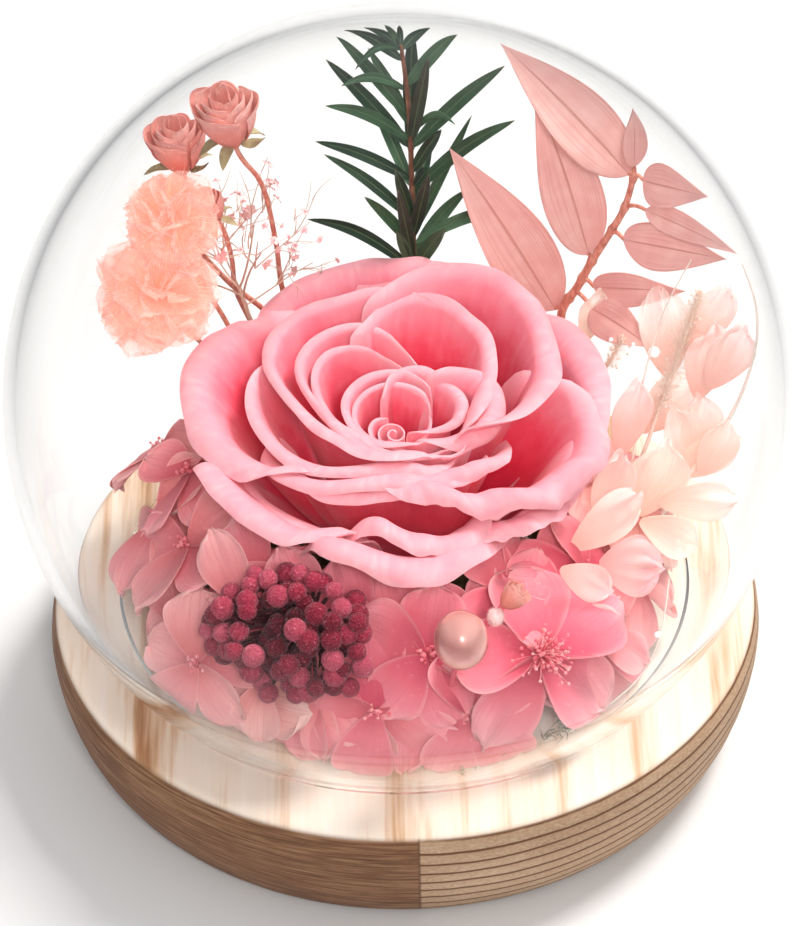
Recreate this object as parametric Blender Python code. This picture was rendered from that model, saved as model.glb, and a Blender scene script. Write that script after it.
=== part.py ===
"""Preserved rose and dried flowers under a glass globe, on a turned wooden base.

Metres, +Z up, origin at the centre of the base's underside, front towards -Y.
The places of the flowers are written in millimetres and scaled where they are read.
"""

import math

import bmesh
import bpy
from mathutils import Matrix, Vector

MM = 0.001

# Wooden base
BASE_HEIGHT = 20.0
BASE_TOP_RADIUS = 54.4
BASE_WIDEST_RADIUS = 56.0
BASE_FOOT_RADIUS = 50.5
BASE_SEGMENTS = 36

# Glass globe, cut off level where it stands on the wood
GLASS_RADIUS = 60.0
GLASS_WALL = 2.0
GLASS_CENTRE_Z = 58.4
GLASS_SEGMENTS = 28
GLASS_RINGS = 10

TOUCH_GAP = 0.3

# Bed of moss that every stem is set in
MOSS_RADIUS = 33.0
MOSS_HEIGHT = 6.5
RISE = Vector((0.0, 0.0, 3.0))
STEM_CLEARANCE = 1.6

# Rose head, which leans towards the front
ROSE_FOOT = Vector((-1.0, 0.0, 33.0))
ROSE_LEAN = math.radians(10.0)
PETAL_THICKNESS = 0.35
PETAL_FOOT_RATIO = 0.3
PETAL_ROWS = 4
PETAL_COLUMNS = 5
PETAL_BODY_SHARE = 0.75
PETAL_SIDE_DROP = 0.22
PETAL_FOOT_SPREAD = 0.72
PETAL_LIP_ROLL = math.radians(99.0)

# Each rose petal: name, first and last angle in degrees round the rose, counted from the
# right hand side through the back, lip radius at five even steps between them, rim height
# over the foot, length of the rolled lip, and belly, the share of the lip radius that the
# bowl has reached at two thirds of its height
ROSE_PETALS = [
    ("heart_scroll", 110, 400, (3.0, 4.1, 4.5, 5.6, 7.0), 22.0, 0.2, 0.82),
    ("heart_left", 60, 250, (8.6, 10.4, 8.6, 7.0, 6.0), 24.0, 0.3, 0.82),
    ("heart_right", -65, 95, (7.6, 9.6, 10.8, 11.9, 11.2), 24.0, 0.4, 0.82),
    ("inner_right", -75, 65, (9.6, 11.5, 15.1, 17.2, 13.8), 24.2, 0.5, 0.82),
    ("inner_left", 72, 245, (13.4, 17.8, 13.4, 9.2, 7.7), 24.4, 0.4, 0.82),
    ("second_left", 76, 262, (16.6, 21.8, 15.4, 11.2, 9.4), 25.0, 0.5, 0.82),
    ("second_back", -18, 106, (15.9, 20.0, 24.8, 28.0, 25.0), 25.4, 0.8, 0.82),
    ("big_left", 88, 250, (29.8, 29.6, 19.8, 13.6, 11.8), 25.4, 0.7, 0.82),
    ("big_back", -26, 100, (17.2, 23.2, 29.2, 31.8, 31.8), 26.0, 1.0, 0.82),
    ("front_lip", 202, 334, (16.8, 14.4, 13.4, 14.4, 18.2), 24.6, 0.5, 0.82),
    ("front_fold", 200, 352, (21.0, 17.6, 16.4, 18.8, 25.4), 24.2, 0.8, 0.82),
    ("left_fold", 146, 226, (26.8, 25.0, 24.0, 23.2, 21.6), 23.4, 1.0, 0.82),
    ("big_right", 252, 378, (18.4, 21.2, 27.8, 33.0, 29.6), 23.6, 1.8, 0.82),
    ("outer_left", 126, 216, (33.4, 35.4, 34.4, 31.0, 25.2), 22.4, 2.0, 0.82),
    ("outer_right", -14, 48, (36.6, 36.6, 36.4, 36.0, 36.0), 21.6, 1.4, 0.84),
    ("back_left", 80, 112, (37.6, 37.8, 37.6, 37.2, 36.8), 21.4, 1.0, 0.84),
    ("back_right", 38, 88, (39.4, 38.6, 37.4, 35.6, 33.0), 21.0, 0.8, 0.84),
    ("low_left", 200, 250, (33.4, 32.2, 30.8, 28.8, 26.8), 20.6, 2.0, 0.74),
    ("low_front", 236, 312, (31.2, 32.0, 32.8, 32.0, 29.8), 19.6, 2.2, 0.70),
    ("low_right", 298, 344, (32.8, 33.6, 34.8, 36.4, 37.4), 17.4, 1.4, 0.82),
]

# Flower heads of the ring under the rose: angle round the base, radius and height of the
# middle, lift of the face over the horizon in degrees, petal radius, petal count, twist
FLORETS = [
    (300.5, 40.0, 36.0, 38, 10.0, 5, 0),
    (338, 38.0, 33.0, 40, 10.5, 4, 10),
    (19, 38.0, 33.0, 42, 10.0, 4, 40),
    (72, 37.0, 32.0, 42, 9.5, 4, 25),
    (138, 37.5, 32.0, 40, 8.8, 4, 15),
    (178, 38.0, 34.0, 42, 11.0, 4, 30),
    (210, 37.0, 29.0, 32, 9.0, 4, 5),
    (263, 36.5, 28.0, 28, 9.0, 4, 35),
]
FLORET_THICKNESS = 0.5
FLORET_NOTCH = 0.6
FLORET_CUP = 0.16
FLORET_STEM_RADIUS = 0.8
FLORET_ROOT_INSET = 11.0

# Berry spray: middle of its face, the way it faces, half width and half height
BERRY_FACE = Vector((-17.6, -33.4, 38.4))
BERRY_FACING = Vector((-0.30, -0.72, 0.62))
BERRY_HALF_WIDTH = 12.5
BERRY_HALF_HEIGHT = 7.2
BERRY_COUNT = 22
BERRY_RADIUS = 2.3
BERRY_CROWN_DEPTH = 5.0
GOLDEN_TURN = math.radians(137.5)

PEARL_MIDDLE = Vector((7.8, -40.5, 43.4))
PEARL_RADIUS = 4.4

# Sprigs, buds and puffs, as points from the bed upwards
GREEN_STEM = [(2, 27), (2.6, 33.5, 45), (2.6, 35, 66), (2.7, 35.2, 84), (3, 34.4, 96)]
GREEN_LEAF_LENGTH = 15.5
GREEN_LEAF_WIDTH = 2.6
GREEN_LEAF_PAIRS = 10
GREEN_LEAF_THICKNESS = 0.7
LEAF_ROWS = 5
LEAF_THICKNESS = 0.45
RUSCUS_STEM = [
    (18, 16), (28, 31, 40), (27.5, 31, 50.6), (29.1, 29, 56.7), (31.9, 28, 62.2),
    (34.2, 27, 68.1), (35.9, 26, 73.6), (37.2, 26, 79.3),
]
# Each ruscus leaf: its foot, its tip, its width, and how far its middle bows out
RUSCUS_LEAVES = [
    ((26.6, 31.6, 55.4), (9.9, 29, 83.2), 11.0, 1.5),
    ((31.0, 29.6, 63.0), (22.7, 31, 90.2), 10.5, 1.0),
    ((36.2, 27.6, 78.4), (18.6, 32, 98.2), 12.0, 1.5),
    ((37.6, 26.6, 81.0), (37.0, 25, 90.4), 5.0, 0.5),
    ((38.8, 24.8, 79.6), (48.4, 18.4, 81.4), 7.5, 2.0),
    ((37.6, 23.8, 74.6), (50.6, 14.5, 72.0), 7.0, 2.0),
    ((36.4, 24.6, 68.2), (49.2, 16, 68.6), 7.5, 1.5),
    ((31.6, 26.2, 58.0), (43.6, 19.6, 62.0), 7.5, 1.0),
    ((31.6, 24.4, 52.0), (43.4, 14.4, 55.6), 7.0, 1.0),
]
ROSEBUDS = [
    ("rosebud_front", [(-9, 22), (-13.5, 34, 42), (-17.9, 32.5, 54), (-18.6, 27, 68.6),
                       (-20.1, 24, 81.6), (-23.4, 20.6, 90.6), (-25.2, 18.6, 102.6)], 4.7),
    ("rosebud_back", [(-12.5, 20), (-18, 36.6, 42), (-27, 34, 56), (-31.4, 26.6, 70),
                      (-31.8, 25, 82), (-32.2, 24.4, 86), (-33, 23.6, 94.4)], 4.4),
    ("rosebud_side", [(-15.6, 17.6), (-22.4, 35.4, 42), (-25.4, 31, 56), (-25.4, 23.5, 68),
                      (-26.4, 21, 76), (-29.6, 19.6, 83.4)], 2.6),
]
PUFFS = [
    ("puff_large", [(-20, 12), (-34, 17.5, 37), (-40.6, 14, 50), (-39.4, 12.6, 60),
                    (-37.2, 12.4, 79.8)], 8.8),
    ("puff_small", [(-21, 8), (-36, 12.4, 36), (-46.6, 2, 52), (-47.6, 3, 68),
                    (-42.5, 9, 82), (-35.4, 13, 93.6)], 6.6),
]
SIDE_BUD = [(8, -22), (9.2, -32, 37), (12.4, -35, 45), (16.8, -34.4, 50.4)]
SIDE_BUD_RADIUS = 2.0

# Pale petals and dried grass on the right hand side
PALE_PETALS = [
    ("pale_petal_low", (33.5, -24.5, 38.0), (27.0, -29.0, 47.0), 8.0, 1.0),
    ("pale_petal_side", (40, -1.6, 40.6), (48.8, -3.4, 51.2), 9.0, 1.4),
    ("pale_petal_back", (36.6, 20.4, 43), (42.8, 14.2, 53.0), 8.0, 1.0),
]
GRASS_BLADE = [(20, -3), (37, -3, 32), (50, 1, 46), (51, 8, 58), (47.6, 10.4, 67), (45.2, 11, 74)]
SEED_HEAD = [(20, 3), (36, 2.6, 32), (45.2, 5, 46), (45.4, 5, 56), (45, 4, 72.6)]
SEED_HEAD_RADIUS = 5.2


def clear_scene():
    for old in list(bpy.data.objects):
        bpy.data.objects.remove(old, do_unlink=True)


def finish_of(name, colour, roughness, metallic=0.0, transmission=0.0):
    material = bpy.data.materials.new(name)
    material.use_nodes = True
    shader = material.node_tree.nodes["Principled BSDF"]
    shader.inputs["Base Color"].default_value = (*colour, 1.0)
    shader.inputs["Roughness"].default_value = roughness
    shader.inputs["Metallic"].default_value = metallic
    shader.inputs["Transmission Weight"].default_value = transmission
    return material


def add_piece(name, points, faces, material, smooth_degrees=40.0):
    """One object from points in millimetres and faces that share them."""
    mesh = bpy.data.meshes.new(name)
    mesh.from_pydata([Vector(point) * MM for point in points], [], faces)
    mesh.update()
    tidy = bmesh.new()
    tidy.from_mesh(mesh)
    bmesh.ops.recalc_face_normals(tidy, faces=tidy.faces)
    tidy.to_mesh(mesh)
    tidy.free()
    mesh.shade_smooth()
    mesh.set_sharp_from_angle(angle=math.radians(smooth_degrees))
    piece = bpy.data.objects.new(name, mesh)
    piece.data.materials.append(material)
    bpy.context.scene.collection.objects.link(piece)
    return piece


def turned(name, outline, segments, material):
    """A solid of revolution; an outline point on the axis becomes a single pole."""
    points = []
    rings = []
    for radius, height in outline:
        if radius == 0.0:
            rings.append([len(points)])
            points.append((0.0, 0.0, height))
            continue
        rings.append(list(range(len(points), len(points) + segments)))
        for step in range(segments):
            angle = 2.0 * math.pi * step / segments
            points.append((radius * math.cos(angle), radius * math.sin(angle), height))
    faces = []
    for lower, upper in zip(rings, rings[1:]):
        faces += bridge(lower, upper)
    return add_piece(name, points, faces, material)


def bridge(ring_a, ring_b):
    """Faces between two closed rings of the same count, either of which may be a pole."""
    count = max(len(ring_a), len(ring_b))
    faces = []
    for step in range(count):
        after = (step + 1) % count
        if len(ring_a) == 1:
            faces.append((ring_a[0], ring_b[step], ring_b[after]))
        elif len(ring_b) == 1:
            faces.append((ring_a[step], ring_a[after], ring_b[0]))
        else:
            faces.append((ring_a[step], ring_a[after], ring_b[after], ring_b[step]))
    return faces


def along(route, share):
    """The point at a share from 0 to 1 of a smooth curve through the route's points."""
    spans = len(route) - 1
    place = min(max(share, 0.0), 1.0) * spans
    first = min(int(place), spans - 1)
    t = place - first
    before = Vector(route[max(first - 1, 0)])
    start = Vector(route[first])
    end = Vector(route[first + 1])
    after = Vector(route[min(first + 2, spans)])
    return 0.5 * (
        2.0 * start + (end - before) * t
        + (2.0 * before - 5.0 * start + 4.0 * end - after) * t ** 2
        + (3.0 * start - before - 3.0 * end + after) * t ** 3
    )


def rooted(route):
    """A route that starts upright on the bed below its first point."""
    root = on_moss(route[0][0], route[0][1])
    return [root, root + RISE] + [Vector(point) for point in route[1:]]


def swept(route, stations, sides, lobes=0, lobe_depth=0.0):
    """Closed skin round a route; stations are (share of the route, radius) pairs."""
    points = [along(route, stations[0][0])]
    rings = [[0]]
    side_hint = Vector((1.0, 0.0, 0.0))
    for share, radius in stations:
        middle = along(route, share)
        heading = (along(route, share + 0.01) - along(route, share - 0.01)).normalized()
        across = (side_hint - heading * side_hint.dot(heading)).normalized()
        other = heading.cross(across)
        side_hint = across
        rings.append(list(range(len(points), len(points) + sides)))
        for step in range(sides):
            angle = 2.0 * math.pi * step / sides
            reach = radius * (1.0 + lobe_depth * math.cos(lobes * angle))
            points.append(middle + (across * math.cos(angle) + other * math.sin(angle)) * reach)
    rings.append([len(points)])
    points.append(along(route, stations[-1][0]))
    faces = []
    for lower, upper in zip(rings, rings[1:]):
        faces += bridge(lower, upper)
    return points, faces


def ball_stations(route, radius, steps, stem_radius):
    """Stations of a round head that ends the route, on a stem of the given radius."""
    length = sum(
        (along(route, (k + 1) / 40) - along(route, k / 40)).length for k in range(40)
    )
    head = 2.0 * radius / length
    stations = [((1.0 - head) * k / 5, stem_radius) for k in range(6)]
    for step in range(1, steps):
        turn = math.pi * step / steps
        wide = max(radius * math.sin(turn), stem_radius)
        stations.append((1.0 - head * (1.0 + math.cos(turn)) / 2.0, wide))
    return stations


def sheet(name, rows, thickness, material):
    """A thin closed piece from a grid of points, thickened to both sides."""
    width = len(rows[0])
    points = [point for row in rows for point in row]
    faces = []
    for j in range(len(rows) - 1):
        for i in range(width - 1):
            first = j * width + i
            faces.append((first, first + 1, first + width + 1, first + width))
    piece = add_piece(name, points, faces, material)
    wall = piece.modifiers.new("thickness", "SOLIDIFY")
    wall.thickness = thickness * MM
    wall.offset = 0.0
    return piece


def fused(name, skins, material):
    """One solid from closed skins that overlap: a union of the first with all the rest."""
    body = add_piece(name, *skins[0], material)
    group = bpy.data.collections.new(name + "_joined")
    bpy.context.scene.collection.children.link(group)
    for number, skin in enumerate(skins[1:]):
        helper = add_piece(f"{name}_joined_{number}", *skin, material)
        bpy.context.scene.collection.objects.unlink(helper)
        group.objects.link(helper)
        helper.hide_render = True
        helper.display_type = "WIRE"
    union = body.modifiers.new("union", "BOOLEAN")
    union.operation = "UNION"
    union.operand_type = "COLLECTION"
    union.collection = group
    union.solver = "EXACT"
    return body


def wooden_base():
    outline = [
        (0.0, 0.0),
        (BASE_FOOT_RADIUS - 1.0, 0.0),
        (BASE_FOOT_RADIUS + 0.4, 0.5),
        (BASE_FOOT_RADIUS + 2.6, BASE_HEIGHT * 0.18),
        (BASE_WIDEST_RADIUS - 1.1, BASE_HEIGHT * 0.4),
        (BASE_WIDEST_RADIUS - 0.2, BASE_HEIGHT * 0.62),
        (BASE_WIDEST_RADIUS, BASE_HEIGHT * 0.76),
        (BASE_WIDEST_RADIUS - 0.4, BASE_HEIGHT * 0.91),
        (BASE_TOP_RADIUS, BASE_HEIGHT),
        (0.0, BASE_HEIGHT),
    ]
    wood = finish_of("pale_pine", (0.60, 0.42, 0.27), 0.55)
    turned("wood_base", outline, BASE_SEGMENTS, wood)


def glass_dome():
    rim_z = BASE_HEIGHT + TOUCH_GAP
    inner = GLASS_RADIUS - GLASS_WALL
    rim_half = GLASS_WALL * 0.72
    lowest = -math.asin((GLASS_CENTRE_Z - rim_z - rim_half) / (GLASS_RADIUS - GLASS_WALL / 2))
    middle_radius = (GLASS_RADIUS - GLASS_WALL / 2) * math.cos(lowest)
    outline = []
    for step in range(GLASS_RINGS + 1):
        lift = math.pi / 2 + (lowest - math.pi / 2) * step / GLASS_RINGS
        radius = 0.0 if step == 0 else GLASS_RADIUS * math.cos(lift)
        outline.append((radius, GLASS_CENTRE_Z + GLASS_RADIUS * math.sin(lift)))
    outline.append((middle_radius + rim_half, rim_z + rim_half * 0.6))
    outline.append((middle_radius + rim_half * 0.4, rim_z))
    outline.append((middle_radius - rim_half * 0.4, rim_z))
    outline.append((middle_radius - rim_half, rim_z + rim_half * 0.6))
    for step in range(GLASS_RINGS, -1, -1):
        lift = math.pi / 2 + (lowest - math.pi / 2) * step / GLASS_RINGS
        radius = 0.0 if step == 0 else inner * math.cos(lift)
        outline.append((radius, GLASS_CENTRE_Z + inner * math.sin(lift)))
    glass = finish_of("clear_glass", (0.95, 0.97, 0.97), 0.02, 0.0, 1.0)
    turned("glass_dome", outline, GLASS_SEGMENTS, glass)


def moss_top(radius):
    """Height of the bed's upper face at a distance from its middle."""
    share = min(radius / MOSS_RADIUS, 1.0)
    return BASE_HEIGHT + TOUCH_GAP + MOSS_HEIGHT * math.sqrt(max(1.0 - share ** 4, 0.0))


def on_moss(x, y):
    """Where a stem ends just over the bed, clear of its slope."""
    return Vector((x, y, moss_top(max(math.hypot(x, y) - STEM_CLEARANCE, 0.0)) + TOUCH_GAP))


def moss_bed():
    outline = [(0.0, BASE_HEIGHT + TOUCH_GAP), (MOSS_RADIUS, BASE_HEIGHT + TOUCH_GAP)]
    for share in (0.985, 0.92, 0.78, 0.55):
        outline.append((MOSS_RADIUS * share, moss_top(MOSS_RADIUS * share)))
    outline.append((0.0, moss_top(0.0)))
    turned("moss_bed", outline, 18, finish_of("dry_moss", (0.35, 0.36, 0.16), 0.95))


def rose_place(radius, angle, height):
    """A point of the leaning rose head from its own radius, angle and height."""
    upright = Vector((radius * math.cos(angle), radius * math.sin(angle), height))
    return ROSE_FOOT + Matrix.Rotation(ROSE_LEAN, 3, "X") @ upright


def lip_radius(first, last, radii, angle):
    """Lip radius of a petal at an angle, smooth between its five given radii."""
    share = (angle - first) / (last - first)
    return along([(value, 0.0, 0.0) for value in radii], share).x


def petal_profile(lip_edge, rim_height, lip, belly, share):
    """Radius and height up a petal: a bowl from the foot to the rim, then the rolled lip."""
    rim = lip_edge - lip
    if share <= PETAL_BODY_SHARE:
        t = share / PETAL_BODY_SHARE
        radii = (PETAL_FOOT_RATIO * rim, (belly - 0.16) * rim, belly * rim, rim)
        heights = (0.3, 0.3, 0.72 * rim_height, rim_height)
        weights = ((1 - t) ** 3, 3 * t * (1 - t) ** 2, 3 * t * t * (1 - t), t ** 3)
        radius = sum(w * r for w, r in zip(weights, radii))
        height = sum(w * h for w, h in zip(weights, heights))
        return radius, height
    roll = (share - PETAL_BODY_SHARE) / (1.0 - PETAL_BODY_SHARE) * PETAL_LIP_ROLL
    return rim + lip * math.sin(roll), rim_height - lip * 0.6 * (1.0 - math.cos(roll))


def rose_petal(name, first, last, radii, rim_height, lip, belly, material):
    """One petal on its own bowl round the rose; its sides end lower than its middle."""
    middle = (first + last) / 2.0
    half = (last - first) / 2.0
    rows = []
    for j in range(PETAL_ROWS + 1):
        row = []
        for i in range(PETAL_COLUMNS + 1):
            across = 2.0 * i / PETAL_COLUMNS - 1.0
            share = j / PETAL_ROWS * (1.0 - PETAL_SIDE_DROP * across ** 4)
            widened = math.sin(math.pi / 2 * min(share * 1.6, 1.0))
            spread = PETAL_FOOT_SPREAD + (1.0 - PETAL_FOOT_SPREAD) * widened
            angle = middle + half * spread * across
            edge = lip_radius(first, last, radii, angle)
            radius, up = petal_profile(edge, rim_height, lip, belly, share)
            row.append(rose_place(radius, math.radians(angle), up))
        rows.append(row)
    sheet("rose_petal_" + name, rows, PETAL_THICKNESS, material)


def rose():
    pink = finish_of("rose_petal", (0.86, 0.30, 0.42), 0.6)
    for petal in ROSE_PETALS:
        rose_petal(*petal, pink)
    foot = moss_top(0.0) + TOUCH_GAP
    lean = Matrix.Rotation(ROSE_LEAN, 3, "X")
    top = ROSE_FOOT + lean @ Vector((0.0, 0.0, -TOUCH_GAP))
    route = [(-1.0, 0.6, foot), (-1.0, 0.4, foot + 2.0), top - lean @ Vector((0, 0, 1.6)), top]
    stations = [(0.0, 2.0), (0.4, 2.2), (0.66, 6.0), (0.85, 10.0), (1.0, 10.6)]
    points, faces = swept(route, stations, 14)
    add_piece("rose_stem", points, faces, finish_of("rose_stem", (0.30, 0.34, 0.16), 0.7))
    core_route = [rose_place(0.4, 0.0, 0.4), rose_place(0.4, 0.0, 12.0), rose_place(0.4, 0.0, 21.5)]
    core = [(0.0, 0.7), (0.3, 1.3), (0.6, 1.9), (0.85, 2.1), (1.0, 1.2)]
    points, faces = swept(core_route, core, 10, lobes=3, lobe_depth=0.12)
    add_piece("rose_heart", points, faces, pink)


def floret(number, angle, radius, height, lift, reach, petals, twist, material):
    """An open flower of rounded petals that grew as one, on its own stem."""
    turn = math.radians(angle)
    rise = math.radians(lift)
    outward = Vector((math.cos(turn), math.sin(turn), 0.0))
    facing = outward * math.cos(rise) + Vector((0.0, 0.0, math.sin(rise)))
    across = Vector((-math.sin(turn), math.cos(turn), 0.0))
    other = facing.cross(across)
    middle = outward * radius + Vector((0.0, 0.0, height))
    count = petals * 4
    points = [middle + facing * FLORET_THICKNESS]
    top_rings = []
    for share in (0.14, 1.0):
        top_rings.append(list(range(len(points), len(points) + count)))
        for step in range(count):
            around = 2.0 * math.pi * step / count
            lobe = abs(math.cos(petals * around / 2.0)) ** 0.45
            notched = FLORET_NOTCH + (1.0 - FLORET_NOTCH) * lobe
            out = reach * share * (1.0 if share < 0.2 else notched)
            cup = FLORET_CUP * reach * (out / reach) ** 2 * (1.0 if step % 4 else 0.5)
            spin = around + math.radians(twist)
            flat = across * math.cos(spin) + other * math.sin(spin)
            points.append(middle + flat * out + facing * (cup + FLORET_THICKNESS))
    low_rings = []
    for ring in (top_rings[0], top_rings[-1]):
        low_rings.append(list(range(len(points), len(points) + count)))
        points += [Vector(points[k]) - facing * FLORET_THICKNESS for k in ring]
    root = on_moss(*(outward * (radius - FLORET_ROOT_INSET)).xy)
    root_ring = list(range(len(points), len(points) + count))
    for step in range(count):
        around = 2.0 * math.pi * step / count + math.radians(twist)
        flat = across * math.cos(around) + other * math.sin(around)
        points.append(root + Vector((flat.x, flat.y, 0.0)) * FLORET_STEM_RADIUS)
    faces = bridge([0], top_rings[0])
    for lower, upper in zip(top_rings, top_rings[1:]):
        faces += bridge(lower, upper)
    faces += bridge(top_rings[-1], low_rings[-1])
    for lower, upper in zip(low_rings, low_rings[1:]):
        faces += bridge(lower, upper)
    faces += bridge(low_rings[0], root_ring)
    faces.append(tuple(root_ring))
    add_piece(f"floret_{number}", points, faces, material, 60.0)


def ball(middle, radius, subdivisions=1):
    """A closed ball of twenty faces, or of eighty when it is subdivided once more."""
    shape = bmesh.new()
    bmesh.ops.create_icosphere(shape, subdivisions=subdivisions, radius=radius)
    points = [Vector(middle) + vertex.co for vertex in shape.verts]
    faces = [tuple(vertex.index for vertex in face.verts) for face in shape.faces]
    shape.free()
    return points, faces


def berry_places():
    """Even spiral of berries over the domed front of the crown, in the crown's own unit."""
    places = []
    for number in range(BERRY_COUNT):
        depth = 1.0 - 1.15 * (number + 0.5) / BERRY_COUNT
        wide = math.sqrt(1.0 - depth ** 2)
        turn = number * GOLDEN_TURN
        places.append(Vector((wide * math.cos(turn), wide * math.sin(turn), depth)))
    return places


def berry_spray():
    """Berries fused to the crown of twigs that they grow from, on one stem."""
    facing = BERRY_FACING.normalized()
    across = facing.cross(Vector((0.0, 0.0, 1.0))).normalized()
    up = across.cross(facing)
    frame = Matrix((across, up, facing)).transposed()
    size = frame @ Matrix.Diagonal((BERRY_HALF_WIDTH, BERRY_HALF_HEIGHT, BERRY_CROWN_DEPTH))
    points, faces = ball((0.0, 0.0, 0.0), 0.95, 2)
    crown = ([BERRY_FACE + size @ point for point in points], faces)
    root = on_moss(-12.0, -19.0)
    stem = swept([root, root + RISE, BERRY_FACE], [(0.0, 1.4), (0.5, 1.4), (1.0, 2.0)], 7)
    balls = [ball(BERRY_FACE + size @ place, BERRY_RADIUS) for place in berry_places()]
    skins = [crown, stem] + balls
    fused("berry_spray", skins, finish_of("berry", (0.45, 0.07, 0.13), 0.85))


def pearl():
    root = on_moss(5.0, -27.0)
    route = [root, root + RISE, (6.6, -37.0, 34.0), PEARL_MIDDLE + Vector((0.0, 0.2, PEARL_RADIUS))]
    stations = ball_stations(route, PEARL_RADIUS, 7, 0.5)
    points, faces = swept(route, stations, 9)
    add_piece("pearl", points, faces, finish_of("pearl", (0.90, 0.76, 0.66), 0.2))


def green_sprig():
    stem = rooted(GREEN_STEM)
    skins = [swept(stem, [(k / 10, 1.1 - 0.5 * k / 10) for k in range(11)], 6)]
    for pair in range(GREEN_LEAF_PAIRS):
        share = 0.5 + 0.48 * pair / (GREEN_LEAF_PAIRS - 1)
        foot = along(stem, share)
        for side in (-1.0, 1.0):
            turn = GOLDEN_TURN * pair + (0.0 if side > 0 else math.pi)
            lift = 0.55 + 0.5 * pair / GREEN_LEAF_PAIRS
            length = GREEN_LEAF_LENGTH * (1.0 - 0.5 * (pair / GREEN_LEAF_PAIRS) ** 2)
            flat = Vector((math.cos(turn), 0.35 * math.sin(turn), 0.0)).normalized()
            heading = (flat + Vector((0.0, 0.0, lift))).normalized()
            tip = foot + heading * length * (0.7 if abs(flat.y) > 0.6 else 1.0)
            skins.append(leaf_skin(foot - heading * 0.2, tip))
    fused("green_sprig", skins, finish_of("dark_green_leaf", (0.05, 0.12, 0.06), 0.6))


def leaf_skin(foot, tip):
    """A narrow solid leaf with a four sided section."""
    heading = (tip - foot).normalized()
    across = heading.cross(Vector((0.0, -1.0, 0.15))).normalized()
    face = across.cross(heading)
    points = [foot]
    rings = [[0]]
    thick = face * GREEN_LEAF_THICKNESS / 2
    for share, width_share in ((0.12, 0.5), (0.4, 1.0), (0.72, 0.75)):
        middle = foot + (tip - foot) * share
        wide = across * GREEN_LEAF_WIDTH / 2 * width_share
        rings.append(list(range(len(points), len(points) + 4)))
        points += [middle + wide, middle + thick, middle - wide, middle - thick]
    rings.append([len(points)])
    points.append(tip)
    faces = []
    for lower, upper in zip(rings, rings[1:]):
        faces += bridge(lower, upper)
    return points, faces


def leaf_sheet(name, foot, tip, width, bow, material):
    """A broad thin leaf, creased along its middle and bowed towards the front."""
    foot = Vector(foot)
    tip = Vector(tip)
    heading = (tip - foot).normalized()
    across = heading.cross(Vector((0.25, -1.0, 0.35))).normalized()
    face = across.cross(heading)
    rows = []
    for j in range(LEAF_ROWS + 1):
        share = j / LEAF_ROWS
        wide = width / 2 * max(math.sin(math.pi * share ** 0.85) ** 0.8, 0.06)
        spine = foot.lerp(tip, share) + face * bow * math.sin(math.pi * share)
        rows.append([spine + across * wide * side + face * 0.18 * wide * side ** 2
                     for side in (-1.0, 0.0, 1.0)])
    sheet(name, rows, LEAF_THICKNESS, material)


def ruscus_sprig():
    tan = finish_of("dyed_leaf", (0.80, 0.42, 0.38), 0.6)
    points, faces = swept(rooted(RUSCUS_STEM), [(k / 9, 0.9 - 0.35 * k / 9) for k in range(10)], 7)
    add_piece("ruscus_stem", points, faces, tan)
    for number, leaf in enumerate(RUSCUS_LEAVES, 1):
        leaf_sheet(f"ruscus_leaf_{number}", *leaf, tan)


def heads():
    """Rosebuds, puff flowers, the side bud and the seed head, each on its own stem."""
    coral = finish_of("rosebud", (0.80, 0.32, 0.28), 0.7)
    for name, points, radius in ROSEBUDS:
        route = rooted(points)
        stations = ball_stations(route, radius, 7, 0.6)
        add_piece(name, *swept(route, stations, 8, lobes=4, lobe_depth=0.06), coral)
    peach = finish_of("puff", (0.93, 0.58, 0.46), 0.9)
    for name, points, radius in PUFFS:
        route = rooted(points)
        stations = ball_stations(route, radius, 8, 0.8)
        add_piece(name, *swept(route, stations, 10, lobes=5, lobe_depth=0.07), peach)
    route = rooted(SIDE_BUD)
    stations = ball_stations(route, SIDE_BUD_RADIUS, 5, 0.5)
    add_piece("side_bud", *swept(route, stations, 8), coral)
    cream = finish_of("dried_seed_head", (0.87, 0.70, 0.58), 0.9)
    route = rooted(SEED_HEAD)
    stations = ball_stations(route, SEED_HEAD_RADIUS, 7, 0.6)
    add_piece("seed_head", *swept(route, stations, 8, lobes=4, lobe_depth=0.06), cream)
    blade = [(k / 8, 0.9 - 0.55 * k / 8) for k in range(9)]
    add_piece("grass_blade", *swept(rooted(GRASS_BLADE), blade, 6), cream)


def side_petals():
    pale = finish_of("pale_petal", (0.92, 0.74, 0.66), 0.7)
    for petal in PALE_PETALS:
        leaf_sheet(*petal, pale)


def floret_ring():
    pink = finish_of("floret", (0.84, 0.34, 0.38), 0.7)
    for number, flower in enumerate(FLORETS, 1):
        floret(number, *flower, pink)


clear_scene()
wooden_base()
glass_dome()
moss_bed()
rose()
floret_ring()
berry_spray()
pearl()
green_sprig()
ruscus_sprig()
heads()
side_petals()
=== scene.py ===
import math
import random

import bpy
import numpy as np
from mathutils import Matrix, Vector


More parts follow.
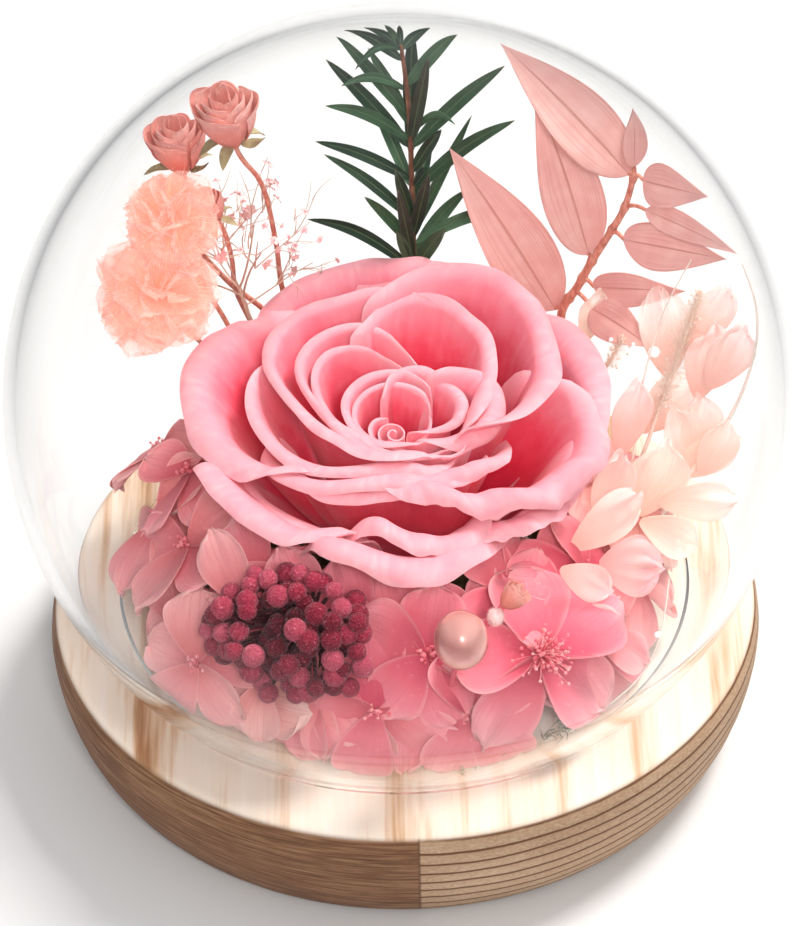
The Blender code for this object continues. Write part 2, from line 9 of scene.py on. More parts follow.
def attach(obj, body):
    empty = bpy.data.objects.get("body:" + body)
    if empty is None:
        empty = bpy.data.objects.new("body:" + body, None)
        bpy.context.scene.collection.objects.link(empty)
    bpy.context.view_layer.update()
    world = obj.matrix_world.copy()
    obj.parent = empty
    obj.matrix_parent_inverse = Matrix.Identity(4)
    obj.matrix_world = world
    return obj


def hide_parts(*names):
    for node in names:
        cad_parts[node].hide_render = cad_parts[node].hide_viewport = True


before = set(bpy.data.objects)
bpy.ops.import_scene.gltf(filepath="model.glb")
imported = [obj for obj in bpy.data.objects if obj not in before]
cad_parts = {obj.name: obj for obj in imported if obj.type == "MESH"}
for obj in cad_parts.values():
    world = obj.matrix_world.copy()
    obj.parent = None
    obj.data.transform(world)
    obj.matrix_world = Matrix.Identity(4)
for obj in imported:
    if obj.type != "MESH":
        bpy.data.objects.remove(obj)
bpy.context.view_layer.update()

MM = 0.001


# The table and the picture. A rose in a glass globe is shot from a step above it on a white
# table, against white, with a big soft window high at the right and white all round.
def deselect():
    if bpy.context.mode != "OBJECT":
        bpy.ops.object.mode_set(mode="OBJECT")
    bpy.ops.object.select_all(action="DESELECT")


class Socket:
    """An output of a node; arithmetic on it adds the Math nodes."""

    def __init__(self, finish, output):
        self.finish = finish
        self.output = output

    def math(self, operation, first, second=None):
        values = {0: first} if second is None else {0: first, 1: second}
        return self.finish.node("ShaderNodeMath", {"operation": operation}, values)

    def __add__(self, other):
        return self.math("ADD", self, other)

    __radd__ = __add__

    def __mul__(self, other):
        return self.math("MULTIPLY", self, other)

    __rmul__ = __mul__

    def __sub__(self, other):
        return self.math("SUBTRACT", self, other)

    def __rsub__(self, other):
        return self.math("SUBTRACT", other, self)

    def __truediv__(self, other):
        return self.math("DIVIDE", self, other)

    def __pow__(self, other):
        return self.math("POWER", self, other)

    def absolute(self):
        return self.math("ABSOLUTE", self)

    def most(self, other):
        return self.math("MAXIMUM", self, other)

    def step(self, low, high):
        """0 below low, 1 above high, smooth between."""
        settings = {"interpolation_type": "SMOOTHSTEP"}
        return self.finish.node("ShaderNodeMapRange", settings, {0: self, 1: low, 2: high})

    def part(self, axis):
        """One of the three numbers of a vector."""
        return self.finish.node("ShaderNodeSeparateXYZ", {}, {0: self}, axis)


class Finish:
    """A material built round one Principled shader; glow is a strength and a colour of emission,
    painted light on parts that are no lamp.
    """

    def __init__(self, name, gloss=0.5, glow=None, **fixed):
        self.material = bpy.data.materials.new(name)
        self.material.use_nodes = True
        self.tree = self.material.node_tree
        self.shader = self.tree.nodes["Principled BSDF"]
        self.feed(self.shader.inputs["Specular IOR Level"], gloss)
        if glow:
            self.feed(self.shader.inputs["Emission Strength"], glow[0])
            self.feed(self.shader.inputs["Emission Color"], glow[1])
        for label, value in fixed.items():
            self.shader.inputs[label.replace("_", " ")].default_value = value

    def node(self, kind, settings, values, output=0):
        made = self.tree.nodes.new(kind)
        for key, value in settings.items():
            if key == "stops":
                self.set_stops(made.color_ramp, value)
            else:
                setattr(made, key, value)
        for key, value in values.items():
            self.feed(made.inputs[key], value)
        return Socket(self, made.outputs[output])

    def set_stops(self, ramp, stops):
        while len(ramp.elements) < len(stops):
            ramp.elements.new(0.5)
        for element, (place, colour) in zip(ramp.elements, stops):
            element.position = place
            element.color = (*colour, 1.0)

    def feed(self, entry, value):
        if isinstance(value, Socket):
            self.tree.links.new(value.output, entry)
        elif isinstance(value, tuple) and len(value) == 3 and entry.type == "RGBA":
            entry.default_value = (*value, 1.0)
        else:
            entry.default_value = value

    def place(self, scale=1.0, turn=0.0):
        """Object coordinates in millimetres, stretched by one number or three, then turned."""
        spot = self.node("ShaderNodeTexCoord", {}, {}, "Object")
        size = tuple(np.broadcast_to(scale, 3) / MM)
        turned = (0.0, 0.0, math.radians(turn))
        return self.node("ShaderNodeMapping", {}, {"Vector": spot, "Scale": size, "Rotation": turned})

    def uv(self, scale=(1.0, 1.0, 1.0)):
        spot = self.node("ShaderNodeUVMap", {"uv_map": "UVMap"}, {})
        return self.node("ShaderNodeMapping", {}, {"Vector": spot, "Scale": scale})

    def tint(self):
        """A number that each petal or berry carries on its own points."""
        return self.node("ShaderNodeAttribute", {"attribute_name": "tint"}, {}, "Fac")

    def noise(self, spot, scale, detail=3.0, warp=0.0):
        values = {"Vector": spot, "Scale": scale, "Detail": detail, "Distortion": warp}
        return self.node("ShaderNodeTexNoise", {}, values)

    def grain(self, scale=1.0, detail=3.0, warp=0.0):
        """Noise that runs through the solid."""
        return self.noise(self.place(scale), 1.0, detail, warp)

    def fibre(self, scale, detail=3.0, warp=0.0):
        """Noise drawn out along the UV map."""
        return self.noise(self.uv(scale), 1.0, detail, warp)

    def ramp(self, share, *stops):
        return self.node("ShaderNodeValToRGB", {"stops": stops}, {0: share})

    def mix(self, share, first, second):
        values = {0: share, 6: first, 7: second}
        return self.node("ShaderNodeMix", {"data_type": "RGBA"}, values, 2)

    def bump(self, height, strength, distance_mm):
        values = {"Height": height, "Strength": strength, "Distance": distance_mm * MM}
        self.feed(self.shader.inputs["Normal"], self.node("ShaderNodeBump", {}, values))

    def over(self, base, *layers):
        """A colour with each layer's tone laid over it as far as the layer's share says."""
        for share, tone in layers:
            base = self.mix(share, base, tone)
        return base

    def colour(self, base, *layers):
        self.feed(self.shader.inputs["Base Color"], self.over(base, *layers))

    def roughness(self, value):
        self.feed(self.shader.inputs["Roughness"], value)


CAMERA_TARGET = Vector((-0.19, 0.0, 45.78)) * MM
CAMERA_DISTANCE = 604.31 * MM
CAMERA_LIFT = math.radians(40.21)
CAMERA_ROLL = math.radians(-1.47)
CAMERA_LENS = 153.06
camera_data = bpy.data.cameras.new("picture_camera")
camera_data.lens = CAMERA_LENS
camera_data.sensor_width = 36.0
camera_data.clip_start = 0.01
camera = bpy.data.objects.new("picture_camera", camera_data)
bpy.context.scene.collection.objects.link(camera)
back = Vector((0.0, -math.cos(CAMERA_LIFT), math.sin(CAMERA_LIFT)))
turn = back.to_track_quat("Z", "Y") @ Matrix.Rotation(CAMERA_ROLL, 3, "Z").to_quaternion()
camera.location = CAMERA_TARGET + back * CAMERA_DISTANCE
camera.rotation_mode = "QUATERNION"
camera.rotation_quaternion = turn
bpy.context.scene.camera = camera


def window(name, place, size, power, colour):
    """A round soft lamp that looks at the rose; place and size in metres, power in watts."""
    light = bpy.data.lights.new(name, "AREA")
    light.shape = "DISK"
    light.size = size
    light.energy = power
    light.color = colour
    lamp = bpy.data.objects.new(name, light)
    bpy.context.scene.collection.objects.link(lamp)
    lamp.location = Vector(place)
    aim = Vector((0.0, 0.0, 0.04)) - lamp.location
    lamp.rotation_mode = "QUATERNION"
    lamp.rotation_quaternion = aim.to_track_quat("-Z", "Y")
    lamp.visible_glossy = False
    lamp.visible_transmission = False
    return lamp


window("window_light", (0.42, 0.3, 0.75), 0.28, 8.2, (1.0, 0.975, 0.94))
window("left_fill", (-0.7, -0.35, 0.45), 0.6, 0.7, (0.97, 0.98, 1.0))
front = window("front_fill", (0.07, -0.6, 0.58), 0.14, 2.1, (1.0, 0.98, 0.96))
front.visible_glossy = True
world = bpy.data.worlds.new("white_surroundings")
world.use_nodes = True
sky = world.node_tree.nodes
aim = sky.new("ShaderNodeTexCoord")
apart = sky.new("ShaderNodeSeparateXYZ")
fade = sky.new("ShaderNodeValToRGB")
fade.color_ramp.elements[0].position = 0.0
fade.color_ramp.elements[0].color = (0.12, 0.12, 0.13, 1.0)
fade.color_ramp.elements[1].position = 0.55
fade.color_ramp.elements[1].color = (1.0, 1.0, 1.0, 1.0)
world.node_tree.links.new(aim.outputs["Generated"], apart.inputs[0])
world.node_tree.links.new(apart.outputs["Z"], fade.inputs[0])
world.node_tree.links.new(fade.outputs["Color"], sky["Background"].inputs["Color"])
sky["Background"].inputs["Strength"].default_value = 0.62
bpy.context.scene.world = world
bpy.context.scene.view_settings.view_transform = "Standard"

deselect()
bpy.ops.mesh.primitive_grid_add(x_subdivisions=8, y_subdivisions=8, size=6.0)
table = bpy.context.object
table.name = "white_table"
paint = Finish("white_table", Roughness=0.6)
spot = paint.place()
# the table turns grey outside the picture, and the edges of the glass show that grey
beside = spot.part("X").absolute().step(72.0, 180.0)
before = (0.0 - spot.part("Y")).step(56.0, 150.0)
paper = paint.mix(paint.noise(spot, 0.02), (0.74, 0.74, 0.745), (0.77, 0.77, 0.77))
paint.colour(paint.mix(beside.most(before), paper, (0.29, 0.29, 0.3)))
table.data.materials.append(paint.material)
table.location = (0.0, 0.0, -0.0004)


# The wooden base. Two pine boards glued side by side, turned to a low bun with a full round
# side; the left one shows its long grain and the right one its yearly rings as dark lines. The
# left board's darker colour is partly painted shade.
BASE_HEIGHT = 20.0
BOARD_JOINT_X = 1.15
BOARD_TURN = -9.0
RING_SPACING = 2.15
# radius and height of the turned outline, from the foot to the middle of the top
BASE_OUTLINE = [
    (49.9, 0.0), (50.7, 0.35), (51.5, 1.2), (52.4, 2.5), (53.4, 4.4), (54.3, 6.6), (55.0, 9.0),
    (55.5, 11.4), (55.8, 13.6), (55.9, 15.4), (55.7, 17.2), (55.35, 18.6), (54.9, 19.5),
    (54.3, 19.9), (53.6, 20.0), (40.0, 20.0), (20.0, 20.0), (5.0, 20.0),
]

# the widest angle between two faces, in degrees, that is still shaded smooth
CRISP = 40.0
SOFT = 80.0


def dress(piece, finish, slot, *nodes, crease=CRISP):
    """Gives a finished piece its material, its shading and its place in the model."""
    piece.data.name = piece.name
    piece.data.materials.clear()
    piece.data.materials.append(finish.material)
    deselect()
    piece.select_set(True)
    bpy.context.view_layer.objects.active = piece
    bpy.ops.object.shade_smooth_by_angle(angle=math.radians(crease))
    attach(piece, "root")
    if nodes:
        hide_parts(*nodes)


deselect()
foot_radius = BASE_OUTLINE[0][0]
bpy.ops.mesh.primitive_circle_add(vertices=180, radius=foot_radius * MM, fill_type="NGON")
wood = bpy.context.object
wood.name = "pine_base"
bpy.ops.object.mode_set(mode="EDIT")
bpy.ops.mesh.select_all(action="SELECT")
for (radius, height), (last_radius, last_height) in zip(BASE_OUTLINE[1:], BASE_OUTLINE):
    bpy.ops.mesh.extrude_region_move(
        TRANSFORM_OT_translate={"value": (0.0, 0.0, (height - last_height) * MM)}
    )
    grow = radius / last_radius
    bpy.ops.transform.resize(value=(grow, grow, 1.0), center_override=(0.0, 0.0, height * MM))
bpy.ops.mesh.select_all(action="SELECT")
bpy.ops.mesh.normals_make_consistent(inside=False)
bpy.ops.object.mode_set(mode="OBJECT")

pine = Finish("pine", gloss=0.35)
spot = pine.place()
side = 1.0 - spot.part("Z").step(19.0, 19.8)
right = (spot.part("X") - BOARD_JOINT_X).step(-0.15, 0.15)
ring_drift = pine.grain((0.02, 0.02, 0.05), 2.0) * 3.0
ring_wave = pine.grain(0.25, 3.0) * 0.35
ring_height = spot.part("Z") + ring_drift + ring_wave + spot.part("X") * 0.008
ring_saw = pine.node("ShaderNodeMath", {"operation": "FRACT"}, {0: ring_height / RING_SPACING})
ring_line = ring_saw.step(0.7, 0.84) * (1.0 - ring_saw.step(0.93, 0.995))
ring_shade = ring_saw.step(0.2, 0.92)
fibre = pine.grain((0.12, 0.12, 3.2), 6.0, 0.4)
pores = pine.grain((0.35, 0.35, 7.0), 4.0)
flecks = pine.grain((1.6, 1.6, 5.0), 4.0)
blotch = pine.grain((0.05, 0.05, 0.08), 3.0)
# The left board's long grain is much darker than the right board: partly its own grain, partly painted
# shade on the side turned away from the window.
long_grain_painted_shade = pine.ramp(
    fibre * 0.75 + blotch * 0.25,
    (0.3, (0.1, 0.04, 0.018)), (0.47, (0.21, 0.094, 0.045)),
    (0.58, (0.31, 0.16, 0.082)), (0.75, (0.45, 0.27, 0.155)),
)
dark_pore = (1.0 - pores.step(0.3, 0.42)) * 0.75
long_grain_painted_shade = pine.over(long_grain_painted_shade, (dark_pore, (0.12, 0.055, 0.03)))
end_grain = pine.ramp(
    flecks * 0.6 + blotch * 0.4,
    (0.32, (0.36, 0.205, 0.115)), (0.52, (0.52, 0.345, 0.22)), (0.72, (0.66, 0.49, 0.345)),
)
end_grain = pine.over(
    end_grain, (ring_shade * 0.35, (0.42, 0.235, 0.12)), (ring_line * 0.95, (0.13, 0.045, 0.014))
)
streak_place = pine.place((0.16, 0.011, 0.05), BOARD_TURN)
streaks = pine.noise(streak_place, 1.0, 4.0, 0.3)
fine_streaks = pine.noise(pine.place((1.4, 0.05, 0.1), BOARD_TURN), 1.0, 4.0)
top_colour = pine.ramp(
    streaks * 0.82 + fine_streaks * 0.18,
    (0.33, (0.42, 0.2, 0.095)), (0.4, (0.69, 0.45, 0.285)),
    (0.48, (0.88, 0.73, 0.6)), (0.64, (0.915, 0.82, 0.73)),
)
knot_place = pine.place((0.9, 0.16, 0.3), BOARD_TURN)
knots = pine.noise(knot_place, 0.35, 3.0, 0.6).step(0.735, 0.8)
top_colour = pine.over(top_colour, (knots * 0.8, (0.2, 0.08, 0.03)))
joint = 1.0 - (spot.part("X") - BOARD_JOINT_X).absolute().step(0.1, 0.28)
side_colour = pine.mix(right, long_grain_painted_shade, end_grain)
pine.colour(top_colour, (side, side_colour), (joint * side * 0.7, (0.14, 0.06, 0.03)))
pine.roughness(0.5 + 0.22 * side - 0.1 * fine_streaks)
relief = side * (fibre * (1.0 - right) + ring_saw * right * 0.8 + pores * 0.4) + fine_streaks * 0.12
pine.bump(relief, 0.5, 0.3)
dress(wood, pine, "wood", "wood_base")


# The rose. One preserved rose head of about twenty thick, velvety petals that wrap each
# other, deep pink at the foot, darkened there by painted shade, and pale at the rolled lips;
# it leans a little to the front.
ROSE_FOOT = np.array((-1.0, 0.0, 33.0))
ROSE_LEAN = math.radians(10.0)
PETAL_FOOT_RATIO = 0.3
PETAL_BODY_SHARE = 0.72
PETAL_OVERLAP = math.radians(14.0)
ROSE_PETAL_WALL = 0.3
ROSE_COIL_WALL = 0.25
# name, first and last angle, lip radius at even steps between them, height of the rim as one
# number or at even steps, radius of the curl, curl in degrees, belly, waviness
ROSE_PETALS = [
    ("heart_scroll", 110, 400, (3.0, 4.0, 4.3, 5.2, 6.6), 23.4, 0.4, 40, 0.86, 0.15),
    ("heart_left", 48, 335, (9.6, 9.9, 8.8, 6.4, 5.4, 5.8, 9.4), 25.3, 0.7, 60, 0.86, 0.3),
    ("heart_right", -40, 108, (4.6, 6.8, 10.2, 11.2, 10.8, 11.2, 9.4, 6.2), 24.6, 1.0, 95, 0.84, 0.35),
    ("inner_right", -48, 50, (8.4, 12.2, 15.7, 16.2, 12.0), 25.2, 2.0, 120, 0.8, 0.35),
    ("inner_left", 84, 330, (12.0, 17.6, 10.9, 6.7, 6.6, 7.6, 11.5), 24.8, 0.8, 60, 0.84, 0.3),
    ("second_left", 72, 340, (13.4, 20.6, 19.2, 10.6, 7.8, 7.8, 8.4, 10.6, 14.6), 25.1, 1.0, 70,
     0.82, 0.3),
    ("second_back", -14, 104, (13.5, 14.8, 18.8, 23.8, 26.0, 20.4), 25.8, 1.8, 70, 0.78, 0.45),
    ("big_left", 73, 330, (26.4, 26.6, 26.0, 16.5, 11.0, 9.7, 9.2, 10.4, 14.6), 25.7, 1.6, 60, 0.8,
     0.5),
    ("big_back", -24, 94, (14.6, 20.4, 25.6, 30.0, 33.0, 30.8, 25.6), 26.6, 2.6, 60, 0.8, 0.6),
    ("left_fold", 152, 318, (25.0, 20.4, 15.4, 11.2, 10.8, 13.2), 24.8, 1.4, 80, 0.8, 0.5),
    ("front_lip", 178, 350, (20.4, 20.2, 15.6, 12.4, 13.2, 16.4, 19.4),
     (19.5, 24.0, 24.8, 24.8, 24.8, 24.8, 22.5), 1.6, 100, 0.8, 0.45),
    ("front_fold", 208, 330, (18.6, 17.4, 14.4, 13.2, 14.8, 17.2), 23.8, 1.4, 90, 0.8, 0.45),
    ("big_right", 250, 382, (13.4, 13.8, 15.0, 18.2, 23.4, 28.6, 32.0, 30.6, 26.2), 24.3, 2.6, 80,
     0.78, 0.65),
    ("outer_left", 128, 212, (30.0, 35.4, 35.4, 32.6, 29.8, 26.0, 20.4), 23.6, 3.8, 55, 0.8, 0.95),
    ("outer_right", -20, 48, (31.4, 33.2, 35.2, 34.4, 32.6), 23.0, 4.0, 50, 0.82, 0.8),
    ("back_left", 84, 124, (36.0, 36.2, 35.8, 35.0, 34.0), 22.4, 3.6, 60, 0.82, 0.8),
    ("back_right", 52, 92, (34.0, 35.2, 35.8, 35.6, 34.0), 22.4, 3.6, 60, 0.83, 0.8),
    ("low_left", 176, 244, (28.4, 30.0, 29.0, 27.5, 26.6, 22.6),
     (12.0, 20.6, 21.8, 21.8, 21.6, 20.4), 2.7, 65, 0.78, 1.1),
    ("low_front", 224, 320, (24.4, 25.8, 26.2, 26.6, 26.2, 23.4),
     (13.0, 21.4, 21.6, 21.6, 20.6, 15.0), 2.6, 65, 0.78, 1.1),
    ("low_right", 302, 350, (23.0, 26.0, 28.5, 30.0, 30.5), 20.0, 2.6, 65, 0.8, 0.8),
    ("fill_left", 168, 250, (26.0, 26.0, 24.6, 22.6, 20.0), (10.0, 18.0, 20.2, 20.2, 18.0), 1.6,
     45, 0.86, 0.5),
    ("fill_front", 236, 312, (22.0, 19.8, 21.8, 23.8, 22.0), (14.0, 21.6, 22.0, 21.6, 20.6), 2.2,
     70, 0.8, 0.7),
    ("fill_heart", 24, 214, (6.6, 7.8, 8.0, 6.6, 5.0), 24.4, 0.5, 50, 0.86, 0.25),
    ("fill_right", 292, 360, (22.0, 24.0, 26.0, 27.6, 28.0), 19.4, 1.6, 45, 0.86, 0.5),
]


def between(values, share):
    """A smooth curve through evenly spaced values or points, read at shares from 0 to 1."""
    values = np.asarray(values, float)
    place = np.clip(share, 0.0, 1.0) * (len(values) - 1)
    first = np.minimum(place.astype(int), len(values) - 2)
    t = place - first
    before = values[np.maximum(first - 1, 0)]
    start = values[first]
    end = values[first + 1]
    after = values[np.minimum(first + 2, len(values) - 1)]
    return 0.5 * (
        2.0 * start + (end - before) * t
        + (2.0 * before - 5.0 * start + 4.0 * end - after) * t ** 2
        + (3.0 * start - before - 3.0 * end + after) * t ** 3
    )


def rose_place(radius, angle, height):
    """Points of the leaning head from their own radius, angle and height."""
    x = radius * np.cos(angle)
    y = radius * np.sin(angle)
    cos, sin = math.cos(ROSE_LEAN), math.sin(ROSE_LEAN)
    return ROSE_FOOT + np.stack([x, y * cos - height * sin, y * sin + height * cos], axis=-1)


def shaped_sheet(name, across, along, rule):
    """A grid with a UV map; the rule says where a point goes from its place across and along."""
    deselect()
    bpy.ops.mesh.primitive_grid_add(x_subdivisions=across, y_subdivisions=along, size=2.0)
    piece = bpy.context.object
    piece.name = name
    spots = np.empty(len(piece.data.vertices) * 3)
    piece.data.vertices.foreach_get("co", spots)
    spots = spots.reshape(-1, 3)
    moved = rule(spots[:, 0], (spots[:, 1] + 1.0) / 2.0) * MM
    piece.data.vertices.foreach_set("co", moved.ravel())
    piece.data.update()
    return piece


def thicken(piece, thickness, offset=0.0):
    """Gives a sheet a wall, inward from the sheet at an offset of -1 and to both sides at 0."""
    wall = piece.modifiers.new("thickness", "SOLIDIFY")
    wall.thickness = thickness * MM
    wall.offset = offset
    bpy.context.view_layer.objects.active = piece
    bpy.ops.object.modifier_apply(modifier="thickness")
    return piece


def soft_step(low, high, value):
    t = np.clip((value - low) / (high - low), 0.0, 1.0)
    return t * t * (3.0 - 2.0 * t)


def ripple_starts(luck, count):
    """Random starts, in radians, for the waves that ripple a petal."""
    return [luck.uniform(0.0, 6.28) for _ in range(count)]


def rose_petal_rule(first, last, radii, height, lip, curl, belly, wave, luck):
    """Leads a petal up from the foot in a bulging curve and over into its rolled lip."""
    middle = math.radians((first + last) / 2.0)
    half = math.radians((last - first) / 2.0) + PETAL_OVERLAP
    heights = height if isinstance(height, tuple) else (height, height)
    phase = ripple_starts(luck, 6)

    def rule(u, v):
        nick = 0.012 * np.sin(17.0 * u + phase[0]) * np.sin(5.0 * u + phase[2])
        nick = nick + 0.02 * np.sin(4.3 * u + phase[1])
        rounded = 0.1 + 0.9 * np.maximum(1.0 - np.abs(u) ** 4.5, 0.0) ** 0.36
        share = v * (rounded - nick * v ** 3)
        widened = np.sin(math.pi / 2 * np.minimum(share * 1.6, 1.0))
        angle = middle + half * (0.72 + 0.28 * widened) * u
        spot = (angle - math.radians(first)) / math.radians(last - first)
        edge = between(radii, spot)
        rim = edge - 1.5 * lip
        crest = between(heights, spot) - 0.1 * lip
        t = np.minimum(share / PETAL_BODY_SHARE, 1.0)
        pulls = ((1 - t) ** 3, 3 * t * (1 - t) ** 2, 3 * t * t * (1 - t), t ** 3)
        radii_up = (PETAL_FOOT_RATIO * rim, (belly - 0.16) * rim, belly * rim, rim)
        radius = sum(pull * size for pull, size in zip(pulls, radii_up))
        up = sum(pull * size for pull, size in zip(pulls, (0.3, 0.3, 0.72 * crest, crest)))
        rolled = np.maximum(share - PETAL_BODY_SHARE, 0.0) / (1.0 - PETAL_BODY_SHARE)
        strength = curl * (0.85 + 0.15 * np.sin(2.3 * u + phase[2])) * (1.0 - 0.55 * np.abs(u) ** 3)
        slope = np.arctan2(0.28 * crest, (1.0 - belly) * rim)
        roll = rolled * (slope + np.radians(strength))
        radius = radius + lip * (np.sin(slope) - np.sin(slope - roll))
        up = up + lip * (np.cos(slope - roll) - np.cos(slope))
        loose = soft_step(0.35, 1.0, v) * wave
        arc = angle * np.maximum(edge, 6.0)
        sway = 0.6 * np.sin(arc * 0.15 + phase[3]) + 0.35 * np.sin(arc * 0.37 + phase[4])
        ripple = 1.2 * np.sin(arc * 0.13 + phase[5]) + 0.35 * v ** 3 * np.sin(arc * 0.62 + phase[4])
        return rose_place(radius + loose * sway, angle, up + loose * ripple)

    return rule


# The faint red glow is painted light, standing in for light shining through the petals.
velvet = Finish(
    "rose_velvet", Sheen_Weight=0.15, Sheen_Roughness=0.45, gloss=0.25,
    glow=(0.04, (1.0, 0.1, 0.2)),
)
spot = velvet.uv()
up_petal = spot.part("Y")
dust = velvet.fibre((34.0, 5.0, 1.0), 5.0, 0.2)
veins = velvet.fibre((95.0, 2.6, 1.0), 3.0, 0.3)
mottle = velvet.grain(0.22, 4.0)
height_mix = up_petal + (mottle - 0.5) * 0.22 + (dust - 0.5) * 0.1
# Deep red toward the foot of each petal: partly the rose's own colour, partly painted shade in the
# crevices between petals.
pinks_and_painted_shade = velvet.ramp(
    height_mix,
    (0.1, (0.5, 0.002, 0.02)), (0.42, (0.69, 0.016, 0.05)), (0.56, (0.79, 0.075, 0.125)),
    (0.67, (0.84, 0.185, 0.245)), (0.78, (0.85, 0.29, 0.345)), (1.0, (0.85, 0.4, 0.44)),
)
specks = velvet.grain(2.3, 2.0).step(0.7, 0.78)
velvet.colour(
    pinks_and_painted_shade,
    (dust.step(0.5, 0.74) * up_petal.step(0.45, 0.95) * 0.12, (0.96, 0.76, 0.8)),
    (mottle.step(0.5, 0.66) * up_petal.step(0.6, 0.95) * 0.35, (0.7, 0.21, 0.27)),
    (specks * up_petal.step(0.5, 0.9) * 0.35, (0.64, 0.15, 0.21)),
)
velvet.roughness(0.62 + 0.15 * dust)
velvet.bump(veins * 0.6 + dust * 0.5 + mottle * 0.8, 0.35, 0.25)
luck = random.Random(11)
for name, *form in ROSE_PETALS:
    petal = shaped_sheet("rose_" + name, 64, 40, rose_petal_rule(*form, luck))
    node = () if name.startswith("fill") else ("rose_petal_" + name,)
    dress(thicken(petal, ROSE_PETAL_WALL), velvet, "rose_petal", *node, crease=SOFT)


def coil_rule(u, v):
    """The rolled petal in the heart, a scroll of not quite two turns."""
    turn = (u + 1.0) / 2.0
    angle = math.radians(20.0) + turn * math.radians(620.0)
    radius = 0.3 + 2.3 * turn ** 1.1
    high = 22.4 + 0.5 * np.sin(angle * 0.8) * turn - 0.4 * turn
    return rose_place(radius * (0.8 + 0.25 * v), angle, 5.0 + (high - 5.0) * v ** 0.8)


coil = thicken(shaped_sheet("rose_coil", 150, 16, coil_rule), ROSE_COIL_WALL)
dress(coil, velvet, "rose_petal", "rose_heart", crease=SOFT)


# The bed. Dry moss glued to the wood in a low cushion that hides the foam all stems are set
# in; curls of it and a few shed crumbs lie loose round its edge.
MOSS_RADIUS = 33.0
MOSS_HEIGHT = 6.5
BED_FOOT = 20.3
MOSS_STRANDS = 1500


class Skin:
    """Small sheets, tubes and beads gathered into one mesh, with a UV map and a tint."""

    def __init__(self):
        self.points = []
        self.faces = []
        self.uvs = []
        self.tints = []
        self.count = 0

    def put(self, points, faces, uvs, tint):
        points = np.asarray(points, float).reshape(-1, 3)
        self.points.append(points)
        self.faces += [tuple(int(k) + self.count for k in face) for face in faces]
        self.uvs.append(np.asarray(uvs, float).reshape(-1, 2))
        self.tints.append(np.full(len(points), tint))
        self.count += len(points)

    def sheet(self, spots, tint):
        rows, columns = spots.shape[:2]
        v, u = np.meshgrid(np.linspace(0, 1, rows), np.linspace(0, 1, columns), indexing="ij")
        first = (np.arange(rows - 1)[:, None] * columns + np.arange(columns - 1)).ravel()
        faces = np.stack([first, first + 1, first + columns + 1, first + columns], axis=1)
        self.put(spots, faces, np.stack([u, v], axis=-1), tint)

    def tube(self, route, radii, sides, tint):
        """A closed tube through the points of a route."""
        route = np.asarray(route, float)
        heading = np.gradient(route, axis=0)
        heading /= np.linalg.norm(heading, axis=1)[:, None] + 1e-9
        hint = np.array((0.31, 0.87, 0.38)) if abs(heading[0][1]) < 0.8 else np.array((1.0, 0.1, 0.2))
        across = hint - heading * (heading @ hint)[:, None]
        across /= np.linalg.norm(across, axis=1)[:, None] + 1e-9
        other = np.cross(heading, across)
        turn = np.linspace(0.0, 2.0 * math.pi, sides, endpoint=False)
        radii = np.broadcast_to(np.asarray(radii, float), (len(route),))
        wheel = across[:, None] * np.cos(turn)[None, :, None]
        wheel = wheel + other[:, None] * np.sin(turn)[None, :, None]
        points = (route[:, None] + wheel * radii[:, None, None]).reshape(-1, 3)
        faces = []
        for j in range(len(route) - 1):
            for i in range(sides):
                after = (i + 1) % sides
                low, high = j * sides, (j + 1) * sides
                faces.append((low + i, low + after, high + after, high + i))
        faces.append(tuple(range(sides - 1, -1, -1)))
        faces.append(tuple(range((len(route) - 1) * sides, len(route) * sides)))
        uvs = [(i / sides, j / (len(route) - 1)) for j in range(len(route)) for i in range(sides)]
        self.put(points, faces, uvs, tint)

    def bead(self, middle, radius, tint, fine=1):
        points, faces = bead_form(fine)
        uvs = np.stack([points[:, 0], (points[:, 2] + 1.0) / 2.0], axis=1)
        self.put(points * radius + np.asarray(middle), faces, uvs, tint)

    def hair(self, foot, tip, edge, tint):
        """One flat hair that narrows to its tip; edge is half its width."""
        self.put([foot - edge, foot + edge, tip], [(0, 1, 2)], [(0, 0), (1, 0), (0, 1)], tint)

    def made(self, name):
        mesh = bpy.data.meshes.new(name)
        mesh.from_pydata((np.concatenate(self.points) * MM).tolist(), [], self.faces)
        uvs = np.concatenate(self.uvs)
        corners = np.empty(len(mesh.loops), dtype=np.int32)
        mesh.loops.foreach_get("vertex_index", corners)
        mesh.uv_layers.new(name="UVMap").data.foreach_set("uv", uvs[corners].ravel())
        tints = mesh.attributes.new("tint", "FLOAT", "POINT")
        tints.data.foreach_set("value", np.concatenate(self.tints))
        mesh.update()
        piece = bpy.data.objects.new(name, mesh)
        bpy.context.scene.collection.objects.link(piece)
        return piece


bead_forms = {}


def bead_form(fine):
    """Points and faces of a round bead of radius 1, modelled once for each fineness."""
    if fine not in bead_forms:
        deselect()
        bpy.ops.mesh.primitive_ico_sphere_add(subdivisions=fine, radius=1.0)
        model = bpy.context.object
        points = np.array([vertex.co for vertex in model.data.vertices])
        faces = [tuple(face.vertices) for face in model.data.polygons]
        bead_forms[fine] = (points, faces)
        bpy.data.objects.remove(model)
    return bead_forms[fine]


def unit(vector):
    vector = np.asarray(vector, float)
    return vector / (np.linalg.norm(vector) + 1e-12)


def moss_top(radius):
    share = min(radius / MOSS_RADIUS, 1.0)
    return BED_FOOT + MOSS_HEIGHT * math.sqrt(max(1.0 - share ** 4, 0.0))


